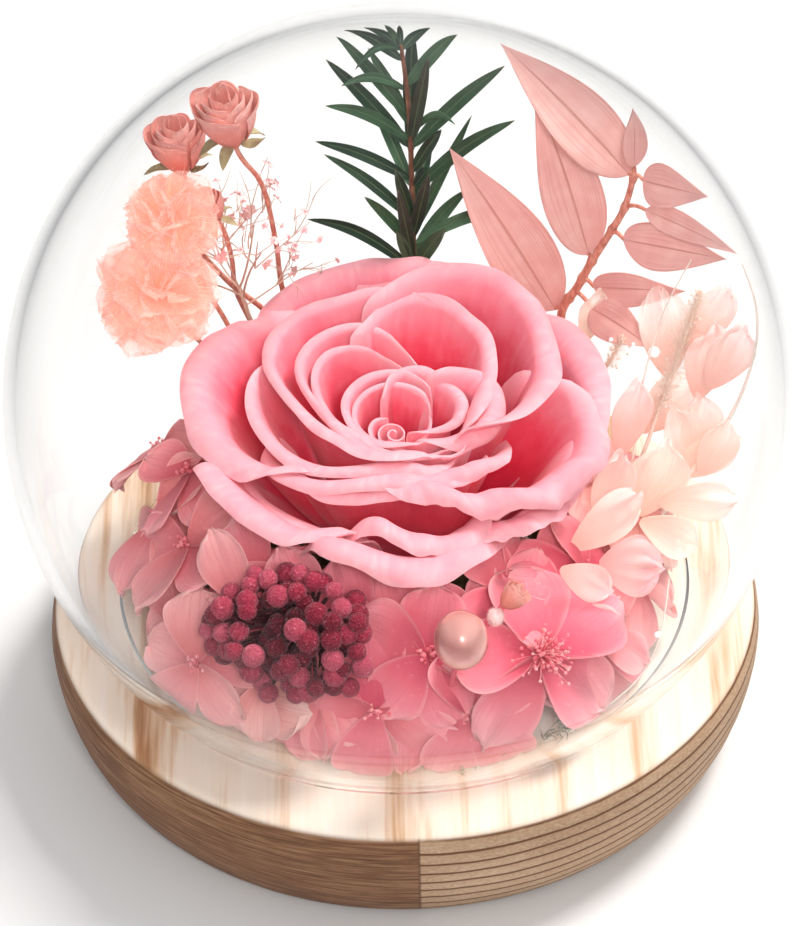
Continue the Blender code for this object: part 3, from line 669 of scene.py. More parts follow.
def bed_rule(u, v):
    angle = math.pi * (u + 1.0)
    radius = MOSS_RADIUS * (1.0 - v) * (1.0 + 0.02 * np.sin(7.0 * angle))
    share = np.minimum(radius / MOSS_RADIUS, 1.0)
    lumps = 0.5 * np.sin(radius * 1.1 + 3.0 * angle) * np.sin(9.0 * angle)
    lumps = lumps * np.minimum(radius / 12.0, 1.0)
    up = BED_FOOT + MOSS_HEIGHT * np.sqrt(np.maximum(1.0 - share ** 4, 0.0))
    up = up + lumps * (1.0 - share ** 6)
    return np.stack([radius * np.cos(angle), radius * np.sin(angle), up], axis=-1)


moss = Finish("dry_moss", gloss=0.2)
moss_mottle = moss.grain(0.5, 4.0)
moss_colour = moss.ramp(
    moss_mottle * 0.6 + moss.tint() * 0.4,
    (0.25, (0.045, 0.05, 0.018)), (0.5, (0.14, 0.135, 0.05)), (0.75, (0.33, 0.29, 0.14)),
)
moss.colour(moss_colour)
moss.roughness(0.85 + 0.1 * moss_mottle)
moss.bump(moss.grain(2.0, 4.0), 0.6, 0.4)
bed = shaped_sheet("moss_cushion", 96, 30, bed_rule)
bpy.ops.object.mode_set(mode="EDIT")
bpy.ops.mesh.select_all(action="SELECT")
bpy.ops.mesh.remove_doubles(threshold=0.00002)
bpy.ops.mesh.select_all(action="DESELECT")
bpy.ops.mesh.select_non_manifold()
bpy.ops.mesh.edge_face_add()
bpy.ops.mesh.select_all(action="SELECT")
bpy.ops.mesh.normals_make_consistent(inside=False)
bpy.ops.object.mode_set(mode="OBJECT")
dress(bed, moss, "moss", "moss_bed")


def curl(skin, start, luck, size, tint):
    """One curled strand of moss."""
    heading = unit((luck.uniform(-1, 1), luck.uniform(-1, 1), luck.uniform(0.2, 1.0)))
    bend = unit((luck.uniform(-1, 1), luck.uniform(-1, 1), luck.uniform(-0.8, 0.4)))
    route = [np.asarray(start, float)]
    for _ in range(5):
        route.append(route[-1] + heading * size * 0.3)
        heading = unit(heading + bend * 0.75)
    skin.tube(route, np.linspace(0.16, 0.05, 6), 3, tint)


luck = random.Random(5)
strands = Skin()
for _ in range(MOSS_STRANDS):
    far = MOSS_RADIUS * luck.uniform(0.3, 1.0) ** 0.5
    around = luck.uniform(0.0, 2.0 * math.pi)
    start = (far * math.cos(around), far * math.sin(around), moss_top(far) - 0.2)
    curl(strands, start, luck, luck.uniform(1.6, 3.4), luck.random())
# angle, radius and number of strands of each shed tuft
SHED_TUFTS = [(-1.35, 40.5, 60), (-0.93, 41.0, 60), (-2.2, 38.0, 30), (0.4, 39.0, 40), (2.3, 39.0, 40)]
for around, far, count in SHED_TUFTS:
    for _ in range(count):
        turn = around + luck.gauss(0.0, 0.06)
        out = far + luck.gauss(0.0, 0.9)
        start = (out * math.cos(turn), out * math.sin(turn), BED_FOOT + abs(luck.gauss(0.0, 0.4)))
        curl(strands, start, luck, luck.uniform(0.9, 1.9), luck.random())
dress(strands.made("moss_strands"), moss, "moss")


# The ring under the rose. Preserved hydrangea heads in dusty pink, each of four or five broad
# soft petals with fine veins and paler, slightly torn rims, packed petal over petal.

# angle round the base, radius and height of the middle, lift of the face in degrees, petal
# length, petals, twist, colour from 0 pink to 1 cream, CAD node it stands for
FLOWER_HEADS = [
    (300.5, 38.6, 36.0, 42, 14.0, 5, 10, 0.1, "floret_1"),
    (338, 38.0, 33.0, 40, 12.0, 5, 10, 0.45, "floret_2"),
    (19, 38.0, 33.0, 42, 11.5, 5, 40, 0.85, "floret_3"),
    (72, 37.0, 32.0, 42, 10.5, 4, 25, 0.4, "floret_4"),
    (138, 37.5, 32.0, 40, 10.5, 4, 15, 0.35, "floret_5"),
    (178, 38.0, 34.0, 42, 12.5, 5, 30, 0.38, "floret_6"),
    (210, 37.0, 29.0, 32, 12.5, 5, 5, 0.45, "floret_7"),
    (263, 37.5, 29.5, 28, 13.5, 5, 35, 0.12, "floret_8"),
    (157, 41.5, 35.5, 45, 10.5, 5, 60, 0.45),
    (195, 34.0, 37.5, 55, 12.0, 5, 12, 0.28),
    (232, 38.5, 25.5, 20, 11.5, 5, 20, 0.62),
    (247, 36.0, 30.0, 38, 11.0, 5, 50, 0.25),
    (275, 34.0, 37.0, 50, 11.5, 5, 5, 0.05),
    (284, 38.5, 28.0, 26, 11.5, 5, 25, 0.15),
    (318, 39.5, 29.5, 34, 11.5, 5, 40, 0.22),
    (326, 33.0, 38.5, 52, 11.5, 5, 0, 0.08),
    (355, 36.0, 38.0, 50, 10.5, 5, 30, 0.8),
    (45, 38.0, 29.0, 36, 10.5, 4, 10, 0.55),
    (100, 38.0, 30.0, 38, 10.5, 4, 30, 0.3),
    (120, 34.0, 35.0, 50, 10.0, 5, 5, 0.15),
    (172, 33.0, 41.0, 62, 10.5, 5, 22, 0.22),
    (228, 30.0, 38.0, 60, 10.5, 5, 8, 0.02),
    (305, 29.0, 40.0, 62, 10.5, 5, 40, 0.02),
    (0, 31.0, 41.0, 60, 10.5, 5, 15, 0.6),
    (60, 30.0, 39.0, 62, 10.5, 5, 15, 0.2),
    (222, 42.0, 31.0, 36, 11.0, 5, 48, 0.35),
]


def spoke(first, second, turn):
    """The direction at an angle in the plane of two directions square to each other."""
    return first * math.cos(turn) + second * math.sin(turn)


def scatter(luck, spread):
    return np.array([luck.gauss(0.0, spread) for _ in range(3)])


def bowed(start, end, steps, bow=0.0):
    """Points from start to end, pushed aside by the vector bow in the middle."""
    lean = [bow * math.sin(math.pi * k / steps) for k in range(steps + 1)]
    return [start + (end - start) * k / steps + lean[k] for k in range(steps + 1)]


def flower_petal(u, v, middle, out, side, face, length, width, luck):
    """One broad petal; out points along it, side across it, and face is the flower's front."""
    cup = luck.uniform(-0.1, 0.16)
    tip = luck.uniform(-0.3, 0.05)
    trough = luck.uniform(-0.06, 0.16)
    phase = ripple_starts(luck, 4)
    grow = (1.0 - (1.0 - np.minimum(v * 1.02, 1.0)) ** 1.7) ** 0.85
    close = np.sqrt(np.maximum(1.0 - (v ** 3.4) * 0.97, 0.0))
    half = width / 2.0 * (0.1 + 0.9 * grow) * close
    torn = 1.0 + 0.02 * np.sin(11.0 * u + phase[0]) + 0.015 * np.sin(23.0 * u + phase[1])
    along = length * v * (1.0 - 0.1 * u ** 2 * v ** 2) * (1.0 + (torn - 1.0) * v ** 3)
    lift = length * (cup * v + (tip - cup) * v ** 2.4)
    lift = lift + half * trough * u ** 2 * 2.0
    ruffle = soft_step(0.35, 1.0, v) * length * 0.052
    lift = lift + ruffle * (np.sin(3.1 * u + phase[2]) + 0.6 * np.sin(6.7 * u + 2.0 * v + phase[3]))
    spots = middle + out * along[..., None] + side * (half * u)[..., None] + face * lift[..., None]
    spots[..., 2] -= 0.006 * along ** 2 * (1.0 + 0.3 * math.sin(phase[0]))
    return spots


GLASS_RADIUS = 59.9
GLASS_WALL = 1.9
GLASS_CENTRE_Z = 58.4
GLASS_GAP = 0.8
BENDING_ZONE = 3.0


def clear_of_glass(spots):
    """Petals that reach the glass lie along it, and none goes into the wood."""
    spots = spots.copy()
    centre = np.array((0.0, 0.0, GLASS_CENTRE_Z))
    away = spots - centre
    far = np.linalg.norm(away, axis=-1, keepdims=True)
    room = GLASS_RADIUS - GLASS_WALL - GLASS_GAP
    past = np.maximum(far - room + BENDING_ZONE, 0.0)
    near = np.minimum(far, room - BENDING_ZONE + BENDING_ZONE * np.tanh(past / BENDING_ZONE))
    spots = centre + away * np.where(far > room - BENDING_ZONE, near / far, 1.0)
    spots[..., 2] = np.maximum(spots[..., 2], BASE_HEIGHT + 0.5 + 0.04 * (spots[..., 0] % 3.0))
    return spots


def lone_petal(u, v, foot, tip, width, facing, luck):
    """A single petal from foot to tip that faces one way."""
    foot = np.array(foot, float)
    out = unit(tip - foot)
    side = unit(np.cross(facing, out))
    length = np.linalg.norm(tip - foot)
    return flower_petal(u, v, foot, out, side, np.cross(out, side), length, width, luck)


def petal_grid(across, along):
    v, u = np.meshgrid(np.linspace(0.0, 1.0, along), np.linspace(-1.0, 1.0, across), indexing="ij")
    return u, v


# The faint pink glow is painted light, standing in for light shining through the petals.
soft_petal = Finish("hydrangea_petal", Sheen_Weight=0.12, gloss=0.25, glow=(0.03, (0.9, 0.22, 0.26)))
spot = soft_petal.uv()
along_petal = spot.part("Y")
off_middle = (spot.part("X") - 0.5).absolute()
ribs = soft_petal.fibre((46.0, 1.6, 1.0), 3.0, 0.4)
net = soft_petal.grain(1.3, 5.0, 0.5)
cloud = soft_petal.grain(0.16, 3.0)
pink = soft_petal.ramp(
    along_petal + (cloud - 0.5) * 0.5,
    (0.05, (0.5, 0.035, 0.08)), (0.35, (0.68, 0.1, 0.155)), (0.75, (0.77, 0.2, 0.255)),
    (1.0, (0.82, 0.33, 0.365)),
)
cream = soft_petal.ramp(
    along_petal + (cloud - 0.5) * 0.4,
    (0.05, (0.7, 0.26, 0.215)), (0.45, (0.83, 0.47, 0.39)), (1.0, (0.89, 0.65, 0.55)),
)
rim = off_middle.step(0.4, 0.5).most(along_petal.step(0.93, 1.0))
soft_petal.colour(
    soft_petal.mix(soft_petal.tint(), pink, cream),
    (rim * 0.22, (0.93, 0.62, 0.58)),
    ((1.0 - ribs.step(0.34, 0.52)) * 0.35, (0.62, 0.11, 0.17)),
    (net.step(0.62, 0.78) * 0.3, (0.9, 0.56, 0.59)),
)
soft_petal.roughness(0.6 + 0.2 * net)
soft_petal.bump(ribs * 0.8 + net * 0.4, 0.45, 0.22)


def speckled(name, scale, detail, own, stops, rough, relief=None, **fixed):
    """A finish coloured by fine noise and, by the share own, by the tint of each small part."""
    finish = Finish(name, **fixed)
    speckle = finish.grain(scale, detail)
    finish.colour(finish.ramp(speckle * (1.0 - own) + finish.tint() * own, *stops))
    finish.roughness(rough[0] + rough[1] * speckle)
    if relief:
        finish.bump(speckle, *relief)
    return finish


pollen_stops = (0.2, (0.56, 0.03, 0.07)), (0.5, (0.8, 0.16, 0.21)), (0.85, (0.93, 0.48, 0.48))
pollen = speckled("stamens", 3.0, 3.0, 0.5, pollen_stops, (0.7, 0.2), (0.4, 0.1), gloss=0.3)


def stamen_tuft(skin, middle, face, luck, count, reach):
    for _ in range(count):
        way = unit(face + scatter(luck, 0.55))
        bend = scatter(luck, 0.25)
        long = reach * luck.uniform(0.5, 1.1)
        route = [middle + way * long * k / 4 + bend * long * (k / 4) ** 2 for k in range(5)]
        tone = luck.random()
        skin.tube(route, (0.09, 0.08, 0.07, 0.07, 0.06), 3, tone)
        skin.bead(route[-1], luck.uniform(0.2, 0.36), 0.5 + 0.5 * tone, 1)


FLORET_WALL = 0.16
# number and length of the stamens in the open head in front and in the others
OPEN_STAMENS = (90, 4.6)
SMALL_STAMENS = (14, 1.6)
luck = random.Random(23)
u, v = petal_grid(15, 15)
for number, row in enumerate(FLOWER_HEADS, 1):
    angle, radius, height, lift, reach, count, twist, tone, *node = row
    turn = math.radians(angle)
    rise = math.radians(lift)
    outward = np.array((math.cos(turn), math.sin(turn), 0.0))
    face = outward * math.cos(rise) + np.array((0.0, 0.0, math.sin(rise)))
    across = np.array((-math.sin(turn), math.cos(turn), 0.0))
    other = np.cross(face, across)
    middle = outward * radius + np.array((0.0, 0.0, height))
    petals = Skin()
    for k in range(count):
        spin = 2.0 * math.pi * (k + luck.uniform(-0.12, 0.12)) / count + math.radians(twist)
        out = spoke(across, other, spin)
        side = np.cross(face, out)
        length = reach * luck.uniform(0.92, 1.14)
        start = middle + face * (0.35 * (k % 2) + 0.2) + out * 0.4
        out = unit(out + face * luck.uniform(-0.35, 0.25))
        side = unit(side + face * luck.uniform(-0.35, 0.35))
        width = length * luck.uniform(0.95, 1.2)
        spots = flower_petal(u, v, start, out, side, np.cross(out, side), length, width, luck)
        petals.sheet(clear_of_glass(spots), min(max(tone + luck.uniform(-0.1, 0.1), 0.0), 1.0))
    head = thicken(petals.made(f"hydrangea_{number}"), FLORET_WALL)
    dress(head, soft_petal, "floret", *node, crease=SOFT)
    tuft = Skin()
    root = outward * (radius - 11.0)
    root[2] = moss_top(radius - 12.6)
    tuft.tube(bowed(root, middle - face * 0.3, 6), 0.55, 6, 0.1)
    stamens = OPEN_STAMENS if number == 1 else SMALL_STAMENS
    stamen_tuft(tuft, middle + face * 0.5, face, luck, *stamens)
    dress(tuft.made(f"hydrangea_middle_{number}"), pollen, "floret")

# foot, tip, width, way its face looks, colour: single petals that hang over the rest in front
HANGING_PETALS = [
    ((0, -30.7, 33.5), (-0.8, -43.0, 21.8), 11.5, (0.0, -0.8, 0.6), 0.12),
    ((-0.8, -29.6, 34.5), (-9.5, -39.6, 23.0), 10.0, (-0.3, -0.7, 0.7), 0.22),
    ((-13.8, -34.3, 31.5), (-12.6, -40.4, 22.5), 8.0, (-0.3, -0.8, 0.6), 0.35),
    ((13.8, -30.1, 34.0), (15.4, -41.0, 22.6), 12.3, (0.2, -0.8, 0.6), 0.1),
    ((21.5, -29.5, 34.0), (30.8, -34.2, 26.0), 13.0, (0.5, -0.6, 0.7), 0.18),
    ((20.8, -28.3, 35.0), (33.0, -22.4, 32.5), 10.0, (0.4, -0.5, 0.8), 0.16),
    ((18.5, -26.5, 36.5), (28.0, -17.5, 36.4), 9.0, (0.1, -0.3, 1.0), 0.12),
    ((16.0, -27.0, 37.0), (9.6, -20.5, 40.0), 8.5, (-0.1, -0.5, 0.9), 0.08),
    ((6.9, -34.3, 32.5), (10.8, -40.0, 23.2), 9.0, (0.1, -0.8, 0.6), 0.06),
    ((3.5, -36.0, 29.0), (5.8, -29.6, 40.5), 5.0, (-0.9, -0.5, 0.2), 0.28),
    ((-25.4, -28.3, 32.5), (-32.3, -33.6, 25.0), 9.5, (-0.5, -0.6, 0.7), 0.4),
    ((-21.5, -32.4, 31.0), (-23.0, -37.4, 23.2), 11.0, (-0.4, -0.7, 0.6), 0.62),
    ((-25.4, -23.6, 34.5), (-36.0, -23.5, 30.0), 11.0, (-0.5, -0.5, 0.8), 0.3),
    ((-15.0, -20.0, 41.0), (-29.5, -21.0, 38.6), 10.0, (-0.3, -0.5, 0.9), 0.2),
    ((-6.0, -37.0, 28.0), (-4.4, -42.2, 21.6), 9.0, (-0.1, -0.8, 0.5), 0.45),
    ((29.0, -27.0, 33.0), (36.6, -27.6, 28.2), 9.0, (0.6, -0.5, 0.7), 0.32),
    ((-23.4, -25.0, 40.0), (-29.6, -21.4, 50.6), 11.0, (-0.4, -0.8, 0.4), 0.36),
    ((-21.5, -18.0, 38.0), (-25.8, -14.5, 48.0), 11.0, (-0.3, -0.8, 0.5), 0.16),
    ((-13.5, -24.0, 37.0), (-18.6, -20.6, 47.6), 12.0, (-0.2, -0.8, 0.5), 0.1),
    ((-7.0, -26.0, 36.0), (-10.4, -22.2, 46.2), 12.0, (-0.1, -0.8, 0.5), 0.04),
    ((-1.0, -27.0, 35.5), (-3.2, -23.4, 44.8), 11.5, (0.0, -0.8, 0.5), 0.08),
    ((6.2, -28.6, 35.0), (4.6, -24.2, 44.6), 10.5, (0.1, -0.8, 0.5), 0.02),
    ((11.4, -28.0, 36.0), (13.8, -23.6, 44.6), 10.0, (0.1, -0.8, 0.5), 0.1),
    ((16.8, -23.6, 36.4), (20.4, -18.6, 44.4), 10.5, (0.2, -0.8, 0.5), 0.05),
    ((21.0, -17.6, 37.0), (25.6, -12.6, 44.4), 10.0, (0.3, -0.7, 0.6), 0.12),
]
luck = random.Random(83)
hanging = Skin()
u, v = petal_grid(19, 21)
for foot, tip, width, facing, tone in HANGING_PETALS:
    hanging.sheet(clear_of_glass(lone_petal(u, v, foot, tip, width, facing, luck)), tone)
    if tone < 0.2:
        out = unit(np.subtract(tip, foot))
        hanging.tube([np.array(foot, float) - out * k * 1.2 for k in (3, 2, 1, 0)], 0.35, 5, tone)
petals = thicken(hanging.made("hydrangea_hanging"), FLORET_WALL)
dress(petals, soft_petal, "floret", crease=SOFT)


# The berry spray. A fork of dried pepper berries, dyed burgundy pink; each berry is a small
# rough ball with a pale bloom of short hairs, on its own thin twig.
BERRY_FACE = np.array((-17.0, -31.6, 40.6))
BERRY_FACING = unit((-0.3, -0.72, 0.62))
BERRY_WIDE, BERRY_HIGH, BERRY_DEEP = 12.8, 9.0, 5.6
BERRY_COUNT = 82
BERRY_HAIRS = 120
SUNK_BERRY_HAIRS = 20
GOLDEN_TURN = math.radians(137.5)

berry_skin = Finish("berry", gloss=0.3, Sheen_Weight=0.12, Sheen_Roughness=0.4)
grain = berry_skin.grain(3.2, 4.0)
warts = berry_skin.node("ShaderNodeTexVoronoi", {}, {"Vector": berry_skin.place(), "Scale": 2.6})
berry_colour = berry_skin.ramp(
    grain * 0.45 + berry_skin.tint() * 0.55,
    (0.24, (0.02, 0.001, 0.003)), (0.42, (0.15, 0.006, 0.018)), (0.6, (0.32, 0.02, 0.05)),
    (0.82, (0.48, 0.085, 0.13)),
)
berry_skin.colour(berry_colour, (grain.step(0.6, 0.76) * 0.5, (0.76, 0.36, 0.43)))
berry_skin.roughness(0.62 + 0.3 * grain)
berry_skin.bump(grain * 0.6 - warts * 0.8, 0.8, 0.35)
hair = Finish("berry_hair")
hair_tone = hair.tint()
hair.colour(hair.mix(hair_tone ** 2.0, (0.26, 0.015, 0.045), (0.88, 0.42, 0.5)))
hair.roughness(0.5 + 0.2 * hair_tone)

luck = random.Random(7)
berries = Skin()
hairs = Skin()
twigs = Skin()
berry_across = unit(np.cross(BERRY_FACING, (0.0, 0.0, 1.0)))
berry_up = np.cross(berry_across, BERRY_FACING)
fork = BERRY_FACE - BERRY_FACING * 8.0
for number in range(BERRY_COUNT):
    depth = 1.0 - 1.25 * (number + 0.5) / BERRY_COUNT
    wide = math.sqrt(1.0 - depth ** 2)
    turn = number * GOLDEN_TURN
    jolt = np.array([luck.uniform(-0.7, 0.7) for _ in range(3)])
    # Berries sunk into the cluster get a darker tint: painted shade where the outer berries shade them.
    sunk_in_painted_shade = luck.random() < 0.38
    spread = luck.uniform(0.6, 0.76) if sunk_in_painted_shade else luck.uniform(0.88, 1.04)
    place = spoke(berry_across * BERRY_WIDE, berry_up * BERRY_HIGH, turn) * wide
    middle = BERRY_FACE + jolt + (place + BERRY_FACING * depth * BERRY_DEEP) * spread
    radius = luck.uniform(1.35, 1.85)
    tone = luck.uniform(0.1, 0.35) if sunk_in_painted_shade else luck.uniform(0.35, 1.0)
    berries.bead(middle, radius, tone, 3)
    twigs.tube(bowed(fork, middle, 5, berry_up * 0.8), np.linspace(0.42, 0.3, 6), 5, 0.2)
    for _ in range(SUNK_BERRY_HAIRS if sunk_in_painted_shade else BERRY_HAIRS):
        way = unit(scatter(luck, 1.0))
        lean = unit(way + scatter(luck, 0.45))
        foot = middle + way * radius * 0.97
        edge = unit(np.cross(way, lean) + 0.01) * 0.035
        hairs.hair(foot, foot + lean * luck.uniform(0.2, 0.46), edge, luck.random())
dress(berries.made("berries"), berry_skin, "berry", "berry_spray", crease=SOFT)
dress(hairs.made("berry_hairs"), hair, "berry")
root = np.array((-12.0, -19.0, moss_top(20.9)))
twigs.tube(bowed(root, fork, 6), 1.0, 7, 0.2)
dress(twigs.made("berry_twigs"), berry_skin, "stem")


# The pearl. A glossy champagne bead, a little longer than wide, on a wire pushed into the bed
# between the petals in front; its colour is pinker than champagne, partly as painted
# reflection of the petals round it.
PEARL_MIDDLE = np.array((8.0, -40.3, 46.0))
PEARL_RADIUS = 4.15


def place_applied(piece):
    deselect()
    piece.select_set(True)
    bpy.context.view_layer.objects.active = piece
    bpy.ops.object.transform_apply(location=True, rotation=True, scale=True)


deselect()
bpy.ops.mesh.primitive_uv_sphere_add(
    segments=64, ring_count=40, radius=PEARL_RADIUS * MM, location=tuple(PEARL_MIDDLE * MM)
)
pearl = bpy.context.object
pearl.name = "champagne_pearl"
pearl.scale = (0.97, 0.97, 1.06)
pearl.rotation_euler = (math.radians(-35.0), 0.0, 0.0)
place_applied(pearl)
nacre = Finish("nacre", Coat_Weight=1.0, Coat_Roughness=0.09, Coat_IOR=1.9, gloss=0.6)
bands = nacre.grain((0.1, 0.1, 0.16), 2.0, 0.3)
# The reddish pink is partly the pearl's own champagne tone, partly painted reflection of the pink
# petals round it.
nacre.colour(nacre.ramp(
    bands, (0.35, (0.64, 0.25, 0.225)), (0.52, (0.74, 0.33, 0.29)), (0.68, (0.82, 0.45, 0.4))
))
nacre.feed(nacre.shader.inputs["Metallic"], 0.3 + 0.15 * bands)
nacre.roughness(0.15 + 0.06 * bands)
nacre.bump(nacre.noise(nacre.place(), 0.6, 2.0), 0.08, 0.03)
dress(pearl, nacre, "pearl", "pearl", crease=SOFT)
wire = Skin()
root = np.array((5.0, -27.0, moss_top(27.5)))
elbow = np.array((6.6, -37.0, 34.0))
wire.tube(bowed(root, elbow, 6) + bowed(elbow, PEARL_MIDDLE, 4)[1:], 0.4, 8, 0.5)
dress(wire.made("pearl_wire"), pollen, "pearl")


# The green sprig. A shoot of preserved podocarpus: a reddish brown stem with some thirty
# narrow leathery leaves, dark green above, each with a raised midrib.
GREEN_ROUTE = np.array([
    (2, 27, 24.4), (2, 27, 27.4), (2.6, 33.5, 45), (2.8, 35, 66), (2.6, 35.2, 86), (1.6, 34.8, 99.5),
], float)
GREEN_LEAF_WALL = 0.22
# height of the foot on the stem, tip, width, arch
GREEN_LEAVES = [
    (79.3, (-10.0, 38, 95.2), 2.3, 0.6), (85.7, (-8.3, 37, 100.7), 2.0, 0.4),
    (94.3, (-7.1, 36.5, 103.3), 1.8, 0.5), (89.7, (-7.7, 33, 93.4), 1.5, 2.0),
    (80.9, (-10.2, 33, 89.8), 1.9, 1.6), (73.6, (-12.0, 36, 81.1), 1.9, 1.0),
    (66.2, (-10.8, 38.5, 76.8), 1.8, 1.2), (61.2, (-4.6, 33, 72.3), 1.8, 0.6),
    (56.8, (-13.8, 34, 67.6), 1.9, 2.2), (97.3, (-5.4, 31, 97.7), 1.1, 2.2),
    (97.3, (-4.0, 36.5, 103.7), 1.5, 0.4), (96.9, (-0.8, 36, 104.5), 1.1, 0.0),
    (98.5, (1.4, 36.3, 104.0), 0.9, 0.0), (66.2, (0.3, 29, 80.3), 1.9, 0.0),
    (56.8, (0.3, 31, 67.0), 1.7, 0.0), (58.2, (0.6, 28, 77.1), 1.9, 0.0),
    (90.3, (10.3, 37, 100.7), 2.2, 0.5), (79.3, (17.4, 36, 94.5), 2.3, 0.9),
    (71.2, (18.8, 34, 85.5), 2.2, 1.6), (63.2, (12.3, 37, 84.6), 1.6, 0.5),
    (84.3, (3.4, 40, 99.6), 2.4, 0.0), (80.3, (5.6, 30, 100.0), 2.1, 0.0),
    (74.8, (7.4, 31, 86.1), 1.9, 0.4), (97.3, (6.2, 36.5, 103.1), 1.7, 0.2),
    (59.6, (11.5, 38, 69.7), 2.2, 1.0), (61.6, (21.5, 36, 66.8), 2.0, 2.2),
    (56.4, (7.7, 30, 67.8), 2.3, 0.6), (62.8, (5.4, 28.5, 79.7), 2.0, 0.2),
    (55.2, (14.6, 36, 53.4), 1.6, 1.4), (72.2, (5.2, 29.5, 77.4), 0.9, 2.6),
    (82.3, (9.5, 31, 87.1), 1.2, 2.6), (60.0, (0.5, 44.5, 68.0), 1.9, 0.5),
    (66.0, (6.5, 45.5, 78.0), 2.0, 0.5), (72.0, (-3.5, 44.5, 84.0), 2.0, 0.5),
    (78.0, (3.0, 45.0, 90.0), 2.0, 0.5), (84.0, (-3.5, 41.5, 95.0), 1.9, 0.4),
]


def sampled(route, steps, last=1.0):
    """Points at even steps of the smooth curve through a route."""
    return [between(route, last * k / steps) for k in range(steps + 1)]


def blade_rule(foot, tip, width, bow, fold, facing, wave, luck, rise, fall, arch=0.0):
    """A pointed leaf from foot to tip; rise and fall set how it widens and how it narrows."""
    foot = np.asarray(foot, float)
    tip = np.asarray(tip, float)
    heading = unit(tip - foot)
    across = unit(np.cross(heading, facing))
    face = np.cross(across, heading)
    phase = ripple_starts(luck, 1)[0]
    widest = rise / (rise + fall)
    full = widest ** rise * (1.0 - widest) ** fall

    def rule(u, v):
        half = width / 2.0 * np.clip(v, 0.0, 1.0) ** rise * np.clip(1.0 - v, 0.0, 1.0) ** fall / full
        half = np.maximum(half, 0.04 * width * (1.0 - v))
        sway = bow * np.sin(math.pi * v * 0.98)
        spots = foot + (tip - foot) * v[..., None] + face * sway[..., None]
        spots[..., 2] += arch * np.sin(math.pi * v)
        lift = half * np.abs(u) * (fold + wave * np.sin(7.0 * v + 2.2 * u + phase))
        return spots + across * (half * u)[..., None] + face * lift[..., None]

    return rule


leather_leaf = Finish("podocarpus_leaf", gloss=0.45, Coat_Weight=0.15, Coat_Roughness=0.3)
spot = leather_leaf.uv()
midrib = 1.0 - (spot.part("X") - 0.5).absolute().step(0.03, 0.09)
leaf_grain = leather_leaf.grain((1.2, 1.2, 0.5), 4.0)
leaf_mottle = leather_leaf.grain(0.2, 3.0)
green = leather_leaf.ramp(
    leaf_mottle * 0.5 + leather_leaf.tint() * 0.5,
    (0.25, (0.008, 0.028, 0.014)), (0.5, (0.018, 0.055, 0.026)), (0.75, (0.055, 0.125, 0.06)),
)
brown_tip = spot.part("Y").step(0.94, 1.0) * 0.6
leather_leaf.colour(green, (midrib * 0.5, (0.13, 0.21, 0.09)), (brown_tip, (0.18, 0.11, 0.04)))
leather_leaf.roughness(0.42 + 0.25 * leaf_grain)
leather_leaf.bump(leaf_grain * 0.5 + midrib, 0.5, 0.25)
bark_stops = (0.3, (0.11, 0.04, 0.025)), (0.55, (0.23, 0.1, 0.06)), (0.75, (0.33, 0.18, 0.1))
bark = speckled("red_bark", (2.2, 2.2, 0.5), 4.0, 0.0, bark_stops, (0.65, 0.2), (0.6, 0.3), gloss=0.3)

luck = random.Random(31)
sprig_leaves = Skin()
u, v = petal_grid(7, 17)
even_steps = np.linspace(0.0, 1.0, len(GREEN_ROUTE))
for height, tip, width, arch in GREEN_LEAVES:
    share = np.interp(height, GREEN_ROUTE[:, 2], even_steps)
    foot = between(GREEN_ROUTE, between(even_steps, share))
    rule = blade_rule(foot, tip, width, -0.8, 0.3, (0.0, -0.8, 0.6), 0.08, luck, 0.55, 0.8, arch)
    sprig_leaves.sheet(clear_of_glass(rule(u, v)), luck.random())
leaves = thicken(sprig_leaves.made("podocarpus_leaves"), GREEN_LEAF_WALL)
dress(leaves, leather_leaf, "green_leaf", "green_sprig", crease=SOFT)
stalk = Skin()
stalk.tube(sampled(GREEN_ROUTE, 40), np.linspace(0.75, 0.3, 41), 10, 0.5)
dress(stalk.made("podocarpus_stem"), bark, "stem", crease=SOFT)


# The rose's own stem. A short green stalk pushed into the foam, with the swollen hip and the
# five sepals that the petals grow from; little of it shows under the lowest petals.
CALYX_WALL = 0.3
sepal_stops = (0.25, (0.2, 0.15, 0.07)), (0.5, (0.36, 0.3, 0.16)), (0.8, (0.52, 0.43, 0.26))
sepal_skin = speckled("dry_sepal", 0.9, 4.0, 0.4, sepal_stops, (0.65, 0.2), (0.5, 0.2), gloss=0.3)
calyx = Skin()
hip_route = [ROSE_FOOT + (0.0, 0.0, high) for high in (-7.0, -5.0, -3.4, -1.6, 0.2, 1.6, 2.6)]
calyx.tube(hip_route, (1.8, 1.8, 2.0, 3.6, 4.8, 5.0, 4.2), 16, 0.3)
u, v = petal_grid(7, 13)
luck = random.Random(5)
for k in range(5):
    turn = 2.0 * math.pi * k / 5 + 0.3
    ring = np.array((math.cos(turn), math.sin(turn), 0.0))
    rule = blade_rule(
        ROSE_FOOT + ring * 4.4, ROSE_FOOT + ring * 15.5 + (0.0, 0.0, 1.5), 4.2, 0.8, 0.2,
        (0.0, 0.0, 1.0), 0.1, luck, 0.45, 0.8,
    )
    calyx.sheet(rule(u, v), luck.random())
dress(thicken(calyx.made("rose_calyx"), CALYX_WALL), sepal_skin, "stem", "rose_stem", crease=60.0)


# The dyed sprig. Ruscus bleached and dyed dusty salmon: broad pointed leaves, thin as paper,
# with lengthwise veins and browned rims, on an orange pink stem with short leaf stalks.
RUSCUS_ROUTE = np.array([
    (18, 16, 26.6), (18, 16, 29.6), (25.4, 30, 41), (26.2, 30.6, 50.5), (28.6, 29.6, 56.2),
    (30.8, 29, 61.8), (33.4, 28, 67.8), (35.6, 27, 73.5), (36.9, 26, 80.6),
], float)
RUSCUS_LEAF_WALL = 0.18
